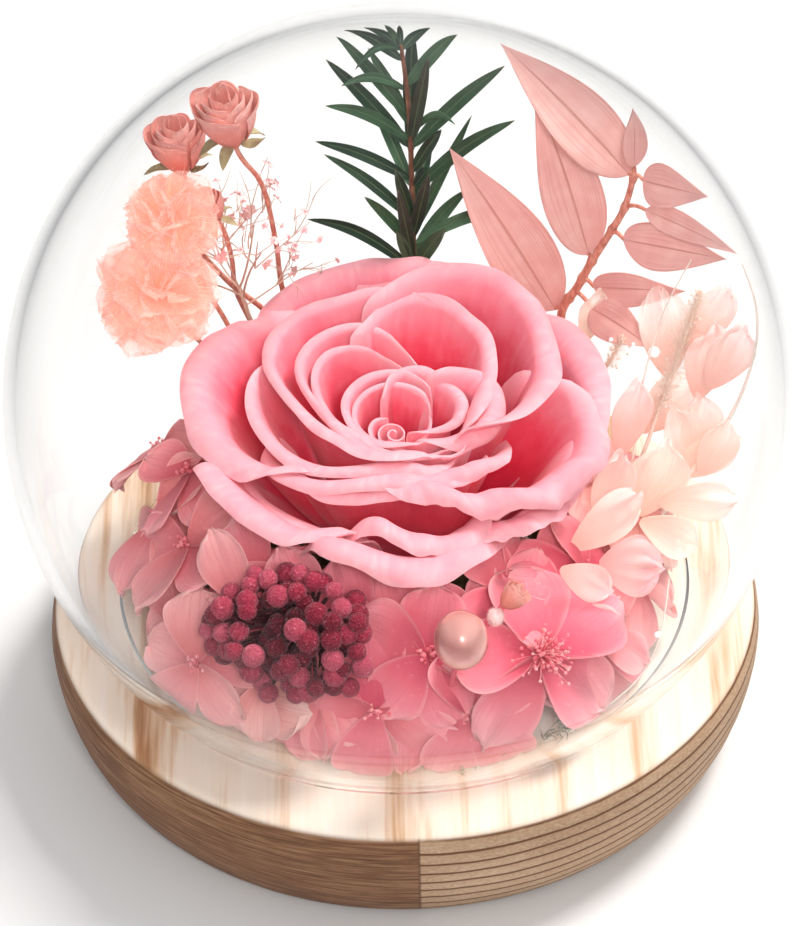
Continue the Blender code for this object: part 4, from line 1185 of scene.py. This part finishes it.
# foot, tip, width, bow, share of the stem that its stalk leaves from
RUSCUS_LEAVES = [
    ((25.2, 31.6, 50.4), (8.5, 29, 84.3), 10.8, 1.5, 0.38),
    ((30.3, 30.0, 62.4), (21.7, 31, 93.7), 9.8, 1.0, 0.62),
    ((36.2, 27.6, 79.5), (16.6, 32.5, 101.0), 10.0, 1.5, 0.97),
    ((36.8, 26.0, 82.0), (36.5, 26, 93.0), 4.0, 0.5, 1.0),
    ((38.2, 24.8, 80.2), (47.8, 18.4, 81.6), 7.0, 2.0, 0.99),
    ((38.6, 23.4, 75.6), (52.0, 12.5, 75.0), 4.2, 1.6, 0.88),
    ((35.4, 24.8, 69.0), (50.6, 14.4, 72.6), 7.6, 1.5, 0.76),
    ((31.0, 27.2, 58.0), (44.6, 16.5, 65.0), 6.0, 1.0, 0.54),
    ((30.6, 25.6, 55.0), (39.5, 17.0, 53.6), 7.0, 1.0, 0.48),
]
# The glow is painted light, standing in for light shining through the thin leaves.
paper_leaf = Finish("dyed_ruscus", gloss=0.3, Sheen_Weight=0.1, glow=(0.05, (0.95, 0.42, 0.36)))
spot = paper_leaf.uv()
from_rib = (spot.part("X") - 0.5).absolute()
rib = 1.0 - from_rib.step(0.008, 0.03)
lines = paper_leaf.fibre((60.0, 1.1, 1.0), 3.0, 0.3)
blots = paper_leaf.grain(0.3, 4.0)
salmon = paper_leaf.ramp(
    blots * 0.7 + paper_leaf.tint() * 0.3,
    (0.2, (0.82, 0.42, 0.385)), (0.5, (0.9, 0.56, 0.51)), (0.8, (0.94, 0.69, 0.635)),
)
browned = from_rib.step(0.42, 0.5) * blots.step(0.4, 0.65)
paper_leaf.colour(
    salmon,
    ((1.0 - lines.step(0.36, 0.5)) * 0.45, (0.64, 0.23, 0.21)),
    (lines.step(0.58, 0.75) * 0.35, (0.9, 0.64, 0.58)),
    (rib * 0.7, (0.62, 0.23, 0.17)),
    (browned * 0.5, (0.52, 0.17, 0.13)),
)
paper_leaf.roughness(0.55 + 0.2 * blots)
paper_leaf.bump(lines * 0.7 + rib * 1.2 + blots * 0.4, 0.55, 0.28)
dyed_stops = (0.3, (0.52, 0.16, 0.11)), (0.55, (0.72, 0.3, 0.22)), (0.75, (0.83, 0.48, 0.38))
dyed_stem = speckled(
    "dyed_stem", (1.8, 1.8, 0.6), 4.0, 0.0, dyed_stops, (0.55, 0.25), (0.5, 0.25), gloss=0.3
)

luck = random.Random(43)
facing = unit((0.25, -1.0, 0.35))
ruscus_stalk = Skin()
# steps along the stem where a leaf joint swells it
JOINT_STEPS = (21, 26, 30, 37, 42, 47)
widths = [0.85 - 0.35 * k / 48 + (0.22 if k in JOINT_STEPS else 0.0) for k in range(49)]
ruscus_stalk.tube(sampled(RUSCUS_ROUTE, 48), widths, 10, 0.5)
for number, (foot, tip, width, bow, share) in enumerate(RUSCUS_LEAVES, 1):
    rule = blade_rule(foot, tip, width, bow, 0.16, facing, 0.1, luck, 0.62, 1.15, 0.6)
    blade = shaped_sheet(f"ruscus_blade_{number}", 24, 44, rule)
    leaf = thicken(blade, RUSCUS_LEAF_WALL)
    dress(leaf, paper_leaf, "dyed_leaf", f"ruscus_leaf_{number}", crease=SOFT)
    leaf_stalk = bowed(between(RUSCUS_ROUTE, share), np.array(foot), 5, np.array((0.0, 0.0, 0.5)))
    ruscus_stalk.tube(leaf_stalk, np.linspace(0.42, 0.3, 6), 6, 0.5)
dress(ruscus_stalk.made("ruscus_stalk"), dyed_stem, "stem", "ruscus_stem", crease=SOFT)


# The rosebuds. Three spray roses dried half open, coral with darker rims, petals wrapped over
# each other on a swollen hip with greenish beige sepals, on thin bent brown stems.
BUD_PETALS = 13
BUD_PETAL_WALL = 0.12
# name, route of the stem up to the tip of the bud, radius
ROSEBUDS = [
    ("rosebud_front", [(-9, 22, 26), (-9, 22, 29), (-13.5, 34, 42), (-17.9, 32.5, 54),
                       (-18.6, 27, 68.6), (-20.1, 24, 81.6), (-23.4, 20.6, 90.6),
                       (-25.2, 18.6, 102.6)], 4.9),
    ("rosebud_back", [(-12.5, 20, 26), (-12.5, 20, 29), (-18, 36.6, 42), (-27, 34, 56),
                      (-31.4, 26.6, 70), (-31.8, 25, 82), (-32.2, 24.4, 86), (-33, 23.6, 94.4)], 4.6),
    ("rosebud_side", [(-15.6, 17.6, 26), (-15.6, 17.6, 29), (-22.4, 35.4, 42), (-25.4, 31, 56),
                      (-25.4, 23.5, 68), (-26.4, 21, 76), (-29.6, 19.6, 83.4)], 2.8),
]
# The glow is painted light, standing in for light shining through the petals.
coral = Finish("dried_coral_petal", gloss=0.25, Sheen_Weight=0.1, glow=(0.06, (0.95, 0.3, 0.2)))
spot = coral.uv()
crinkle = coral.fibre((26.0, 3.0, 1.0), 4.0, 0.5)
stain = coral.grain(0.5, 4.0)
coral_colour = coral.ramp(
    spot.part("Y") * 0.6 + stain * 0.4 + coral.tint() * 0.2,
    (0.2, (0.56, 0.12, 0.085)), (0.5, (0.7, 0.215, 0.17)), (0.8, (0.8, 0.35, 0.3)),
    (1.0, (0.88, 0.54, 0.49)),
)
dry_rim = spot.part("Y").step(0.94, 1.0) * stain.step(0.4, 0.6) * 0.6
coral.colour(
    coral_colour,
    ((1.0 - crinkle.step(0.36, 0.5)) * 0.25, (0.64, 0.17, 0.14)),
    (dry_rim, (0.5, 0.13, 0.12)),
)
coral.roughness(0.6 + 0.2 * crinkle)
coral.bump(crinkle * 0.8 + stain * 0.6, 0.6, 0.3)


def frame_on(axis):
    """Two directions square to an axis."""
    axis = unit(axis)
    hint = np.array((1.0, 0.0, 0.0)) if abs(axis[0]) < 0.8 else np.array((0.0, 1.0, 0.0))
    first = unit(np.cross(axis, hint))
    return first, np.cross(axis, first)


def bud_petal(u, v, foot, axis, radius, layer, start, spread, luck):
    """A petal that wraps a bud; layer runs from 0 at the heart to 1 outside."""
    first, second = frame_on(axis)
    phase = ripple_starts(luck, 1)[0]
    angle = start + spread * u * (0.75 + 0.25 * np.sin(math.pi / 2 * np.minimum(1.5 * v, 1.0)))
    swell = 0.28 + 0.72 * np.sin(math.pi * (0.06 + 0.56 * v))
    out = radius * (0.3 + 0.7 * layer) * swell
    out = out + radius * 0.16 * layer * soft_step(0.72, 1.0, v) * (1.0 + 0.5 * np.sin(4.0 * u + phase))
    out = out - radius * 0.1 * u ** 2 * v
    high = radius * (2.05 - 0.5 * layer) * v * (1.0 - 0.16 * u ** 2)
    high = high + radius * 0.05 * np.sin(5.0 * u + phase) * v ** 2
    ring = first * np.cos(angle)[..., None] + second * np.sin(angle)[..., None]
    return foot + ring * out[..., None] + axis * high[..., None]


def stem_below(route, steps, foot, axis):
    """The points of a stem that lie below the foot of its flower."""
    spots = np.array(sampled(route, steps))
    return spots[(spots - foot) @ axis < 0.0]


luck = random.Random(3)
u, v = petal_grid(15, 15)
for name, route, radius in ROSEBUDS:
    route = np.array(route, float)
    tip = route[-1]
    axis = unit(tip - between(route, 0.93))
    foot = tip - axis * radius * 2.0
    bud = Skin()
    for k in range(BUD_PETALS):
        layer = (k / (BUD_PETALS - 1)) ** 0.8
        start = k * 2.15 + luck.uniform(-0.2, 0.2)
        spots = bud_petal(u, v, foot, axis, radius * 0.98, layer, start, 1.25 - 0.35 * layer, luck)
        bud.sheet(spots, luck.random())
    dress(thicken(bud.made(name + "_petals"), BUD_PETAL_WALL), coral, "rosebud", name, crease=SOFT)
    green_parts = Skin()
    first, second = frame_on(axis)
    stem = np.concatenate([stem_below(route, 59, foot, axis), [foot + axis * radius * 0.25]])
    green_parts.tube(stem, np.linspace(0.55, 0.36, len(stem)), 8, 0.2)
    hip = [foot + axis * radius * k for k in (-0.28, -0.15, 0.0, 0.16, 0.3)]
    green_parts.tube(hip, np.array((0.14, 0.26, 0.34, 0.36, 0.28)) * radius, 10, 0.6)
    dress(green_parts.made(name + "_stem"), dyed_stem, "stem", crease=SOFT)
    sepals = Skin()
    for k in range(5):
        turn = 2.0 * math.pi * k / 5 + 0.4
        ring = spoke(first, second, turn)
        start = foot + ring * radius * 0.28 + axis * radius * 0.05
        droop = luck.uniform(-0.9, 0.5)
        end = start + unit(ring * 0.8 + axis * droop) * radius * luck.uniform(0.8, 1.2)
        rule = blade_rule(start, end, radius * 0.42, 0.1 * radius, 0.3, ring, 0.15, luck, 0.5, 0.9)
        sepals.sheet(rule(u[::2, ::2], v[::2, ::2]), luck.random())
    dress(thicken(sepals.made(name + "_sepals"), BUD_PETAL_WALL), sepal_skin, "stem", crease=SOFT)


# The peach puffs. Preserved star flowers dyed peach: very many thin ruffled petals round a
# heart of fine threads; their rims are partly see-through, and a painted glow stands in for the
# light that shines through them and the threads.
PUFF_PETAL_WALL = 0.08
PUFF_THREADS = 900
# name, route of the stem up to the front of the puff, radius, number of petals
PUFFS = [
    ("puff_large", [(-20, 12, 26.4), (-20, 12, 29.4), (-24, 18, 42), (-29.6, 17.4, 55), (-35.4, 14, 66),
                    (-38.9, 12.4, 79.6)], 10.2, 66),
    ("puff_small", [(-21, 8, 26.4), (-21, 8, 29.4), (-23, 20, 42), (-26, 20.6, 56), (-31.0, 18, 70),
                    (-33.6, 15.4, 80), (-34.2, 14, 90.4)], 8.2, 52),
]
# The strong glow is painted light, standing in for light shining through the petals.
peach = Finish("peach_petal", gloss=0.1, Sheen_Weight=0.2, glow=(0.34, (0.97, 0.5, 0.4)))
spot = peach.uv()
threads = peach.fibre((30.0, 2.0, 1.0), 3.0, 0.5)
shade = peach.grain(0.2, 3.0)
peach.colour(peach.ramp(
    spot.part("Y") * 0.65 + shade * 0.35 + (threads - 0.5) * 0.3,
    (0.1, (0.88, 0.3, 0.2)), (0.4, (0.89, 0.38, 0.29)), (0.7, (0.92, 0.5, 0.42)),
    (1.0, (0.95, 0.68, 0.61)),
))
peach.feed(peach.shader.inputs["Alpha"], 0.8 - 0.58 * spot.part("Y").step(0.15, 1.0))
peach.roughness(0.6 + 0.2 * threads)
peach.bump(threads + shade * 0.5, 0.25, 0.15)
# The threads' glow is painted light too.
fluff = Finish("peach_thread", glow=(0.2, (0.95, 0.5, 0.4)))
fluff.colour(fluff.mix(fluff.tint(), (0.9, 0.42, 0.17), (0.96, 0.7, 0.56)))
fluff.roughness(0.5 + 0.2 * fluff.tint())

luck = random.Random(19)
u, v = petal_grid(15, 11)
for name, route, radius, count in PUFFS:
    route = np.array(route, float)
    axis = unit(route[-1] - between(route, 0.93))
    heart = route[-1] - axis * radius
    puff = Skin()
    first, second = frame_on(axis)
    for k in range(count):
        tall = 1.0 - 1.8 * (k + 0.5) / count
        turn = k * GOLDEN_TURN
        wide = math.sqrt(max(1.0 - tall ** 2, 0.0))
        way = axis * tall + spoke(first, second, turn) * wide
        way = unit(way + scatter(luck, 0.12))
        side = unit(np.cross(way, scatter(luck, 1.0)))
        face = np.cross(side, way)
        long = radius * luck.uniform(0.72, 0.96)
        foot = heart + way * radius * 0.08
        spots = flower_petal(u, v, foot, way, side, face, long, long * 1.35, luck)
        ripple = soft_step(0.45, 1.0, v) * radius * 0.016
        ripple = ripple * (np.sin(13.0 * u + k) + np.sin(21.0 * u + 2.0 * k))
        puff.sheet(clear_of_glass(spots + face * ripple[..., None]), luck.random())
    dress(thicken(puff.made(name + "_petals"), PUFF_PETAL_WALL), peach, "puff", name, crease=SOFT)
    fuzz = Skin()
    for _ in range(PUFF_THREADS):
        way = unit(unit(scatter(luck, 1.0)) + axis * 0.25)
        bend = scatter(luck, 0.22)
        long = radius * luck.uniform(0.75, 1.02)
        edge = unit(np.cross(way, bend) + 0.01) * 0.045
        points = []
        for j in range(4):
            at = heart + way * long * (0.35 + 0.65 * j / 3) + bend * long * (j / 3) ** 2 * 0.5
            points += [at - edge * (1.0 - 0.3 * j), at + edge * (1.0 - 0.3 * j)]
        faces = [(2 * j, 2 * j + 1, 2 * j + 3, 2 * j + 2) for j in range(3)]
        fuzz.put(points, faces, [(0.5, 0.5)] * 8, luck.random())
    dress(fuzz.made(name + "_threads"), fluff, "puff")
    stem = Skin()
    below = stem_below(route, 49, heart, axis)
    stem.tube(below, np.linspace(0.45, 0.35, len(below)), 8, 0.4)
    dress(stem.made(name + "_stem"), dyed_stem, "stem", crease=SOFT)


# The filler spray. Dried mist flower, hair-thin forked twigs with pale pink blossoms no
# bigger than a grain of rice, behind the rosebuds.
luck = random.Random(77)
spray = Skin()
blossoms = Skin()
u, v = petal_grid(5, 5)


def blossom(middle, way, size):
    """Five tiny petals round a bead."""
    first, second = frame_on(way)
    for k in range(5):
        turn = 2.0 * math.pi * k / 5
        out = spoke(first, second, turn)
        side = np.cross(way, out)
        petal = flower_petal(u, v, middle, out, side, unit(way), size, size, luck)
        blossoms.sheet(petal, luck.random())
    blossoms.bead(middle + unit(way) * 0.15, 0.25, 0.1, 1)


def branch(start, heading, long, radius, depth):
    """A twig that forks again and again, some of its ends with a blossom."""
    bend = scatter(luck, 0.2)
    route = [start + heading * long * k / 5 + bend * long * (k / 5) ** 2 for k in range(6)]
    spray.tube(route, np.linspace(radius, radius * 0.6, 6), 4, luck.random())
    if depth == 0:
        if luck.random() < 0.6:
            blossom(route[-1], heading, luck.uniform(0.6, 1.2))
        return
    for _ in range(luck.choice((2, 3))):
        fork = route[0] + (route[-1] - route[0]) * luck.uniform(0.45, 1.0)
        way = np.array((luck.gauss(0, 0.55), luck.gauss(0, 0.35), luck.gauss(0.05, 0.45)))
        branch(fork, unit(heading + way), long * luck.uniform(0.5, 0.8), radius * 0.7, depth - 1)


stalk = np.array([(-19, 20, 26.5), (-20.5, 23, 40), (-22.5, 24.5, 52), (-24.5, 24, 62)], float)
spray.tube(sampled(stalk, 14), 0.35, 5, 0.5)
for share, way, long in (
    (1.0, (-0.3, -0.1, 1.0), 10.0), (1.0, (0.35, -0.1, 0.9), 9.0), (0.92, (-0.9, -0.1, 0.75), 10.0),
    (0.85, (0.75, 0.0, 0.55), 8.0), (0.97, (-0.6, 0.0, 1.0), 12.0), (0.9, (0.1, -0.2, 1.0), 12.0),
):
    branch(between(stalk, share), unit(way), long, 0.2, 3)
blush_stops = (0.0, (0.83, 0.3, 0.33)), (1.0, (0.95, 0.78, 0.74))
blush = speckled("blush_blossom", 1.5, 3.0, 0.4, blush_stops, (0.55, 0.25), gloss=0.3)
twig_stops = (0.0, (0.48, 0.25, 0.17)), (1.0, (0.8, 0.6, 0.48))
dry_twig = speckled("dry_twig", (1.5, 1.5, 1.0), 3.0, 0.4, twig_stops, (0.6, 0.2))
dress(spray.made("mist_twigs"), dry_twig, "stem")
dress(blossoms.made("mist_blossoms"), blush, "floret")


# The small bud in front. A crumpled salmon bud with a fuzzy pale ball at its foot, tucked in
# under the rose beside the pearl.
BUD_ROUTE = np.array([
    (8, -22, 26), (8, -22, 29), (9.2, -32, 37), (12.4, -35, 45), (16.8, -34.4, 50.4),
], float)
SMALL_BUD_RADIUS = 2.1
SMALL_BUD_PETALS = 9
SMALL_BUD_WALL = 0.1
BALL_HAIRS = 420
luck = random.Random(9)
u, v = petal_grid(11, 11)
axis = unit(BUD_ROUTE[-1] - between(BUD_ROUTE, 0.9))
foot = BUD_ROUTE[-1] - axis * 3.6
small_bud = Skin()
for k in range(SMALL_BUD_PETALS):
    layer = k / (SMALL_BUD_PETALS - 1)
    spots = bud_petal(u, v, foot, axis, SMALL_BUD_RADIUS, layer, k * 2.2, 1.2, luck)
    small_bud.sheet(spots, luck.random())
petals = thicken(small_bud.made("small_bud_petals"), SMALL_BUD_WALL)
dress(petals, coral, "rosebud", "side_bud", crease=SOFT)
ball_skin = Skin()
ball_middle = foot - axis * 0.9 + (-0.6, -1.2, -0.4)
ball_skin.bead(ball_middle, 1.25, 0.9, 3)
for _ in range(BALL_HAIRS):
    way = unit(scatter(luck, 1.0))
    start = ball_middle + way * 1.2
    edge = unit(np.cross(way, (0.3, 0.2, 1.0))) * 0.04
    ball_skin.hair(start, start + way * luck.uniform(0.2, 0.5), edge, luck.uniform(0.5, 1.0))
dress(ball_skin.made("fuzzy_ball"), blush, "floret")
bud_stem = Skin()
bud_stem.tube(sampled(BUD_ROUTE, 20, 0.86), 0.5, 7, 0.4)
dress(bud_stem.made("small_bud_stem"), pollen, "stem")


# The pale side. Bleached petals and dried grass on the right: cream and blush petals thin
# enough to see light through, two of them frilled like a carnation, with feathery seed heads,
# two blades and a few white beads. Petals, grass and beads carry a painted glow.

PALE_PETAL_WALL = 0.14
# name, foot, tip, width, frill, tint, CAD node it stands for
PALE_PETALS = [
    ("pale_petal_low", (23.2, -25.0, 45.6), (31.2, -26.0, 41.4), 7.4, 0.02, 0.3, "pale_petal_low"),
    ("pale_petal_side", (39.0, -8.0, 43.2), (51.6, -8.0, 44.0), 8.2, 0.06, 0.92, "pale_petal_side"),
    ("pale_petal_back", (46.3, 8.0, 50.4), (48.6, 8.0, 66.8), 10.5, 0.24, 0.55, "pale_petal_back"),
    ("cream_petal", (36.2, -6.0, 39.0), (40.4, -6.0, 54.4), 13.0, 0.05, 0.98),
    ("cream_petal_low", (36.0, -12.0, 43.2), (45.0, -12.5, 38.4), 8.4, 0.08, 0.92),
    ("cream_petal_back", (37.4, 10.0, 42.4), (46.4, 10.0, 53.4), 10.5, 0.08, 0.9),
    ("cream_petal_side", (42.0, 2.0, 40.0), (52.4, 1.4, 48.4), 8.6, 0.05, 0.95),
    ("cup_petal_left", (45.8, 3.0, 40.6), (41.8, 3.4, 53.6), 8.6, 0.06, 0.8),
    ("cup_petal_middle", (46.6, 4.6, 40.2), (46.2, 5.2, 54.8), 9.0, 0.08, 0.72),
    ("cup_petal_right", (46.4, 0.4, 41.4), (50.6, 0.6, 52.0), 8.4, 0.06, 0.86),
    ("striped_petal", (33.6, 1.0, 45.0), (36.9, 1.2, 59.2), 8.0, 0.1, 0.4),
    ("blush_petal_side", (25.4, -16.0, 41.4), (35.4, -16.0, 51.4), 9.0, 0.05, 0.58),
    ("blush_petal_back", (29.8, -10.0, 39.0), (33.6, -9.4, 54.8), 8.6, 0.05, 0.66),
    ("blush_petal_front", (23.4, -26.0, 36.0), (32.4, -27.0, 37.8), 6.6, 0.03, 0.35),
    ("frilled_petal", (29.4, -19.0, 40.8), (38.6, -19.2, 40.6), 12.5, 0.5, 0.05),
    ("frilled_petal_back", (47.6, 5.4, 54.6), (52.8, 5.4, 66.2), 9.5, 0.36, 0.52),
    ("ghost_petal", (42.2, 15.0, 49.4), (41.2, 15.0, 66.4), 11.0, 0.18, 0.7),
    ("ghost_petal_high", (44.6, 11.0, 57.4), (50.8, 11.0, 70.2), 8.6, 0.2, 0.62),
    ("grey_petal", (29.4, 25.0, 48.6), (32.3, 25.0, 59.2), 6.4, 0.03, 1.0),
]
# The glow is painted light, standing in for light shining through the thin petals.
bleached = Finish("bleached_petal", gloss=0.25, Sheen_Weight=0.15, glow=(0.18, (0.96, 0.7, 0.58)))
spot = bleached.uv()
ribs = bleached.fibre((38.0, 1.4, 1.0), 3.0, 0.4)
cloud = bleached.grain(0.25, 3.0)
blush_side = bleached.ramp(
    spot.part("Y") + (cloud - 0.5) * 0.4,
    (0.1, (0.86, 0.3, 0.3)), (0.6, (0.9, 0.48, 0.48)), (1.0, (0.93, 0.56, 0.62)),
)
cream_side = bleached.ramp(
    spot.part("Y") + (cloud - 0.5) * 0.4,
    (0.1, (0.88, 0.59, 0.47)), (0.6, (0.92, 0.76, 0.66)), (1.0, (0.95, 0.85, 0.78)),
)
bleached.colour(
    bleached.mix(bleached.tint(), blush_side, cream_side),
    ((1.0 - ribs.step(0.36, 0.5)) * 0.25, (0.78, 0.42, 0.35)),
)
bleached.feed(bleached.shader.inputs["Alpha"], 0.84 - 0.44 * spot.part("Y").step(0.2, 1.0))
bleached.roughness(0.55 + 0.2 * cloud)
bleached.bump(ribs + cloud * 0.5, 0.4, 0.22)
luck = random.Random(51)
facing = unit((0.2, -1.0, 0.5))
u, v = petal_grid(33, 25)
for name, foot, tip, width, frill, tone, *node in PALE_PETALS:
    spots = lone_petal(u, v, foot, tip, width, facing, luck)
    jag = np.sin(26.0 * u + 2.0 * luck.random()) + np.sin(17.0 * u)
    jag = frill * soft_step(0.55, 1.0, v) * jag
    wave = frill * 1.6 * v ** 3 * np.sin(12.0 * u)
    spots = spots + unit(np.subtract(tip, foot)) * jag[..., None] + facing * wave[..., None]
    one = Skin()
    one.sheet(clear_of_glass(spots), tone)
    blade = thicken(one.made(name + "_blade"), PALE_PETAL_WALL)
    dress(blade, bleached, "pale_petal", *node, crease=SOFT)

straw_stops = (0.0, (0.8, 0.58, 0.47)), (1.0, (0.965, 0.89, 0.82))
# The glow is painted light, standing in for light shining through the fine grass.
straw = speckled(
    "straw", (1.6, 1.6, 0.7), 3.0, 0.5, straw_stops, (0.55, 0.2), glow=(0.08, (0.9, 0.7, 0.55))
)
BLADE_ROUTE = np.array([
    (20, -3, 26), (20, -3, 29), (37, -3, 33), (44.4, 1, 41), (49.4, 2.6, 48), (52.6, 3, 56),
    (54.2, 3, 65), (53.8, 4, 72), (51.6, 6, 78),
], float)
THIN_BLADE_ROUTE = np.array([
    (24, 2, 27), (32, 1, 34), (35.6, 2, 43), (36.4, 4, 50), (37.8, 6, 58.4), (40.6, 8, 68.4),
    (44.2, 8, 77.4),
], float)
blade = Skin()
blade.tube(sampled(BLADE_ROUTE, 40), np.linspace(0.55, 0.12, 41), 6, 0.9)
blade.tube(sampled(THIN_BLADE_ROUTE, 40), np.linspace(0.3, 0.1, 41), 6, 1.0)
dress(blade.made("grass_stalk"), straw, "dried_grass", "grass_blade", crease=SOFT)
# route, radius of the head, head's share of the route, hairs, CAD node it stands for
SEED_HEADS = [
    ([(20, 3, 26), (20, 3, 29), (33, 2.6, 34), (37.2, 3, 43), (40.4, 6, 52), (43.6, 9, 60.4),
      (46.0, 11, 68.4)], 4.6, 0.38, 1500, "seed_head"),
    ([(22, 9, 26), (28, 16, 38), (31.4, 18, 46), (35.0, 18, 54.6)], 3.0, 0.26, 520),
]
luck = random.Random(61)
for number, (route, radius, share, count, *node) in enumerate(SEED_HEADS, 1):
    route = np.array(route, float)
    plume = Skin()
    plume.tube(sampled(route, 40), np.linspace(0.5, 0.15, 41), 5, 0.3)
    for _ in range(count):
        at = luck.uniform(0.0, 1.0)
        place = 1.0 - share * (1.0 - at)
        start = between(route, place)
        ahead = unit(between(route, min(1.0, place + 0.02)) - between(route, place - 0.04))
        way = unit(unit(scatter(luck, 1.0)) * 0.9 + ahead * 0.8)
        long = radius * luck.uniform(0.6, 1.1) * math.sin(math.pi * (0.12 + 0.8 * at)) ** 0.7
        edge = unit(np.cross(way, (0.2, 0.3, 0.9))) * 0.035
        middle = start + way * long * 0.6 + (0.0, 0.0, -0.02 * long)
        points = [start - edge, start + edge, middle + edge * 0.8, middle - edge * 0.8]
        points.append(start + way * long + (0.0, 0.0, -0.1 * long))
        plume.put(points, [(0, 1, 2, 3), (3, 2, 4)], [(0.5, 0.5)] * 5, luck.random())
        if luck.random() < 0.05:
            plume.bead(middle, 0.22, luck.random(), 1)
    dress(plume.made(f"seed_plume_{number}"), straw, "dried_grass", *node)

loose = Skin()
strand = np.array([(40.0, -19.6, 38), (38.4, -24.6, 30), (34.4, -28.2, 24), (24.5, -35.0, 21.1)])
loose.tube(sampled(strand, 30), 0.13, 4, 0.9)
dress(loose.made("loose_strand"), straw, "dried_grass")
# The beads' glow is painted light, standing in for a white highlight on them.
white_bead = Finish("white_bead", glow=(0.35, (1.0, 0.97, 0.94)))
white_bead.colour((0.9, 0.87, 0.84))
white_bead.roughness(0.25)
# middle and radius of each bead
SEED_BEADS = [
    ((38.2, -24.4, 31.0), 0.5), ((39.3, 10.0, 58.3), 0.9), ((33.0, 15.0, 57.0), 0.35),
    ((36.5, 15.0, 56.0), 0.3),
]
seed_beads = Skin()
for middle, radius in SEED_BEADS:
    seed_beads.bead(middle, radius, 0.9, 3)
dress(seed_beads.made("seed_beads"), white_bead, "pearl", crease=SOFT)


# The glass globe. Clear blown glass, nearly a full ball, cut level and fire-polished to a
# round rim where it stands on the wood.
RIM_Z = 20.35
RIM_ROUNDING = 0.85
deselect()
bpy.ops.mesh.primitive_uv_sphere_add(
    segments=160, ring_count=96, radius=GLASS_RADIUS * MM, location=(0.0, 0.0, GLASS_CENTRE_Z * MM)
)
globe = bpy.context.object
globe.name = "glass_globe"
place_applied(globe)
bpy.ops.object.mode_set(mode="EDIT")
bpy.ops.mesh.select_all(action="SELECT")
bpy.ops.mesh.bisect(
    plane_co=(0.0, 0.0, RIM_Z * MM), plane_no=(0.0, 0.0, 1.0), clear_inner=True, threshold=1e-7
)
bpy.ops.object.mode_set(mode="OBJECT")
thicken(globe, GLASS_WALL, offset=-1.0)
soft_rim = globe.modifiers.new("soft_rim", "BEVEL")
soft_rim.width = RIM_ROUNDING * MM
soft_rim.segments = 5
soft_rim.limit_method = "ANGLE"
soft_rim.angle_limit = math.radians(40.0)
bpy.ops.object.modifier_apply(modifier="soft_rim")

glass = Finish(
    "clear_glass", Roughness=0.0, IOR=1.28, Transmission_Weight=1.0,
    Specular_Tint=(0.05, 0.05, 0.05, 1.0), Base_Color=(0.985, 0.99, 0.99, 1.0),
)
# shadow rays go straight through, so the lamps light the flowers
ray = glass.node("ShaderNodeLightPath", {}, {}, "Is Shadow Ray")
see_through = glass.node("ShaderNodeBsdfTransparent", {}, {"Color": (0.99, 0.99, 0.99)})
body = Socket(glass, glass.shader.outputs[0])
glass_mix = glass.node("ShaderNodeMixShader", {}, {0: ray, 1: body, 2: see_through})
glass.feed(glass.tree.nodes["Material Output"].inputs["Surface"], glass_mix)
dress(globe, glass, "glass", "glass_dome", crease=60.0)
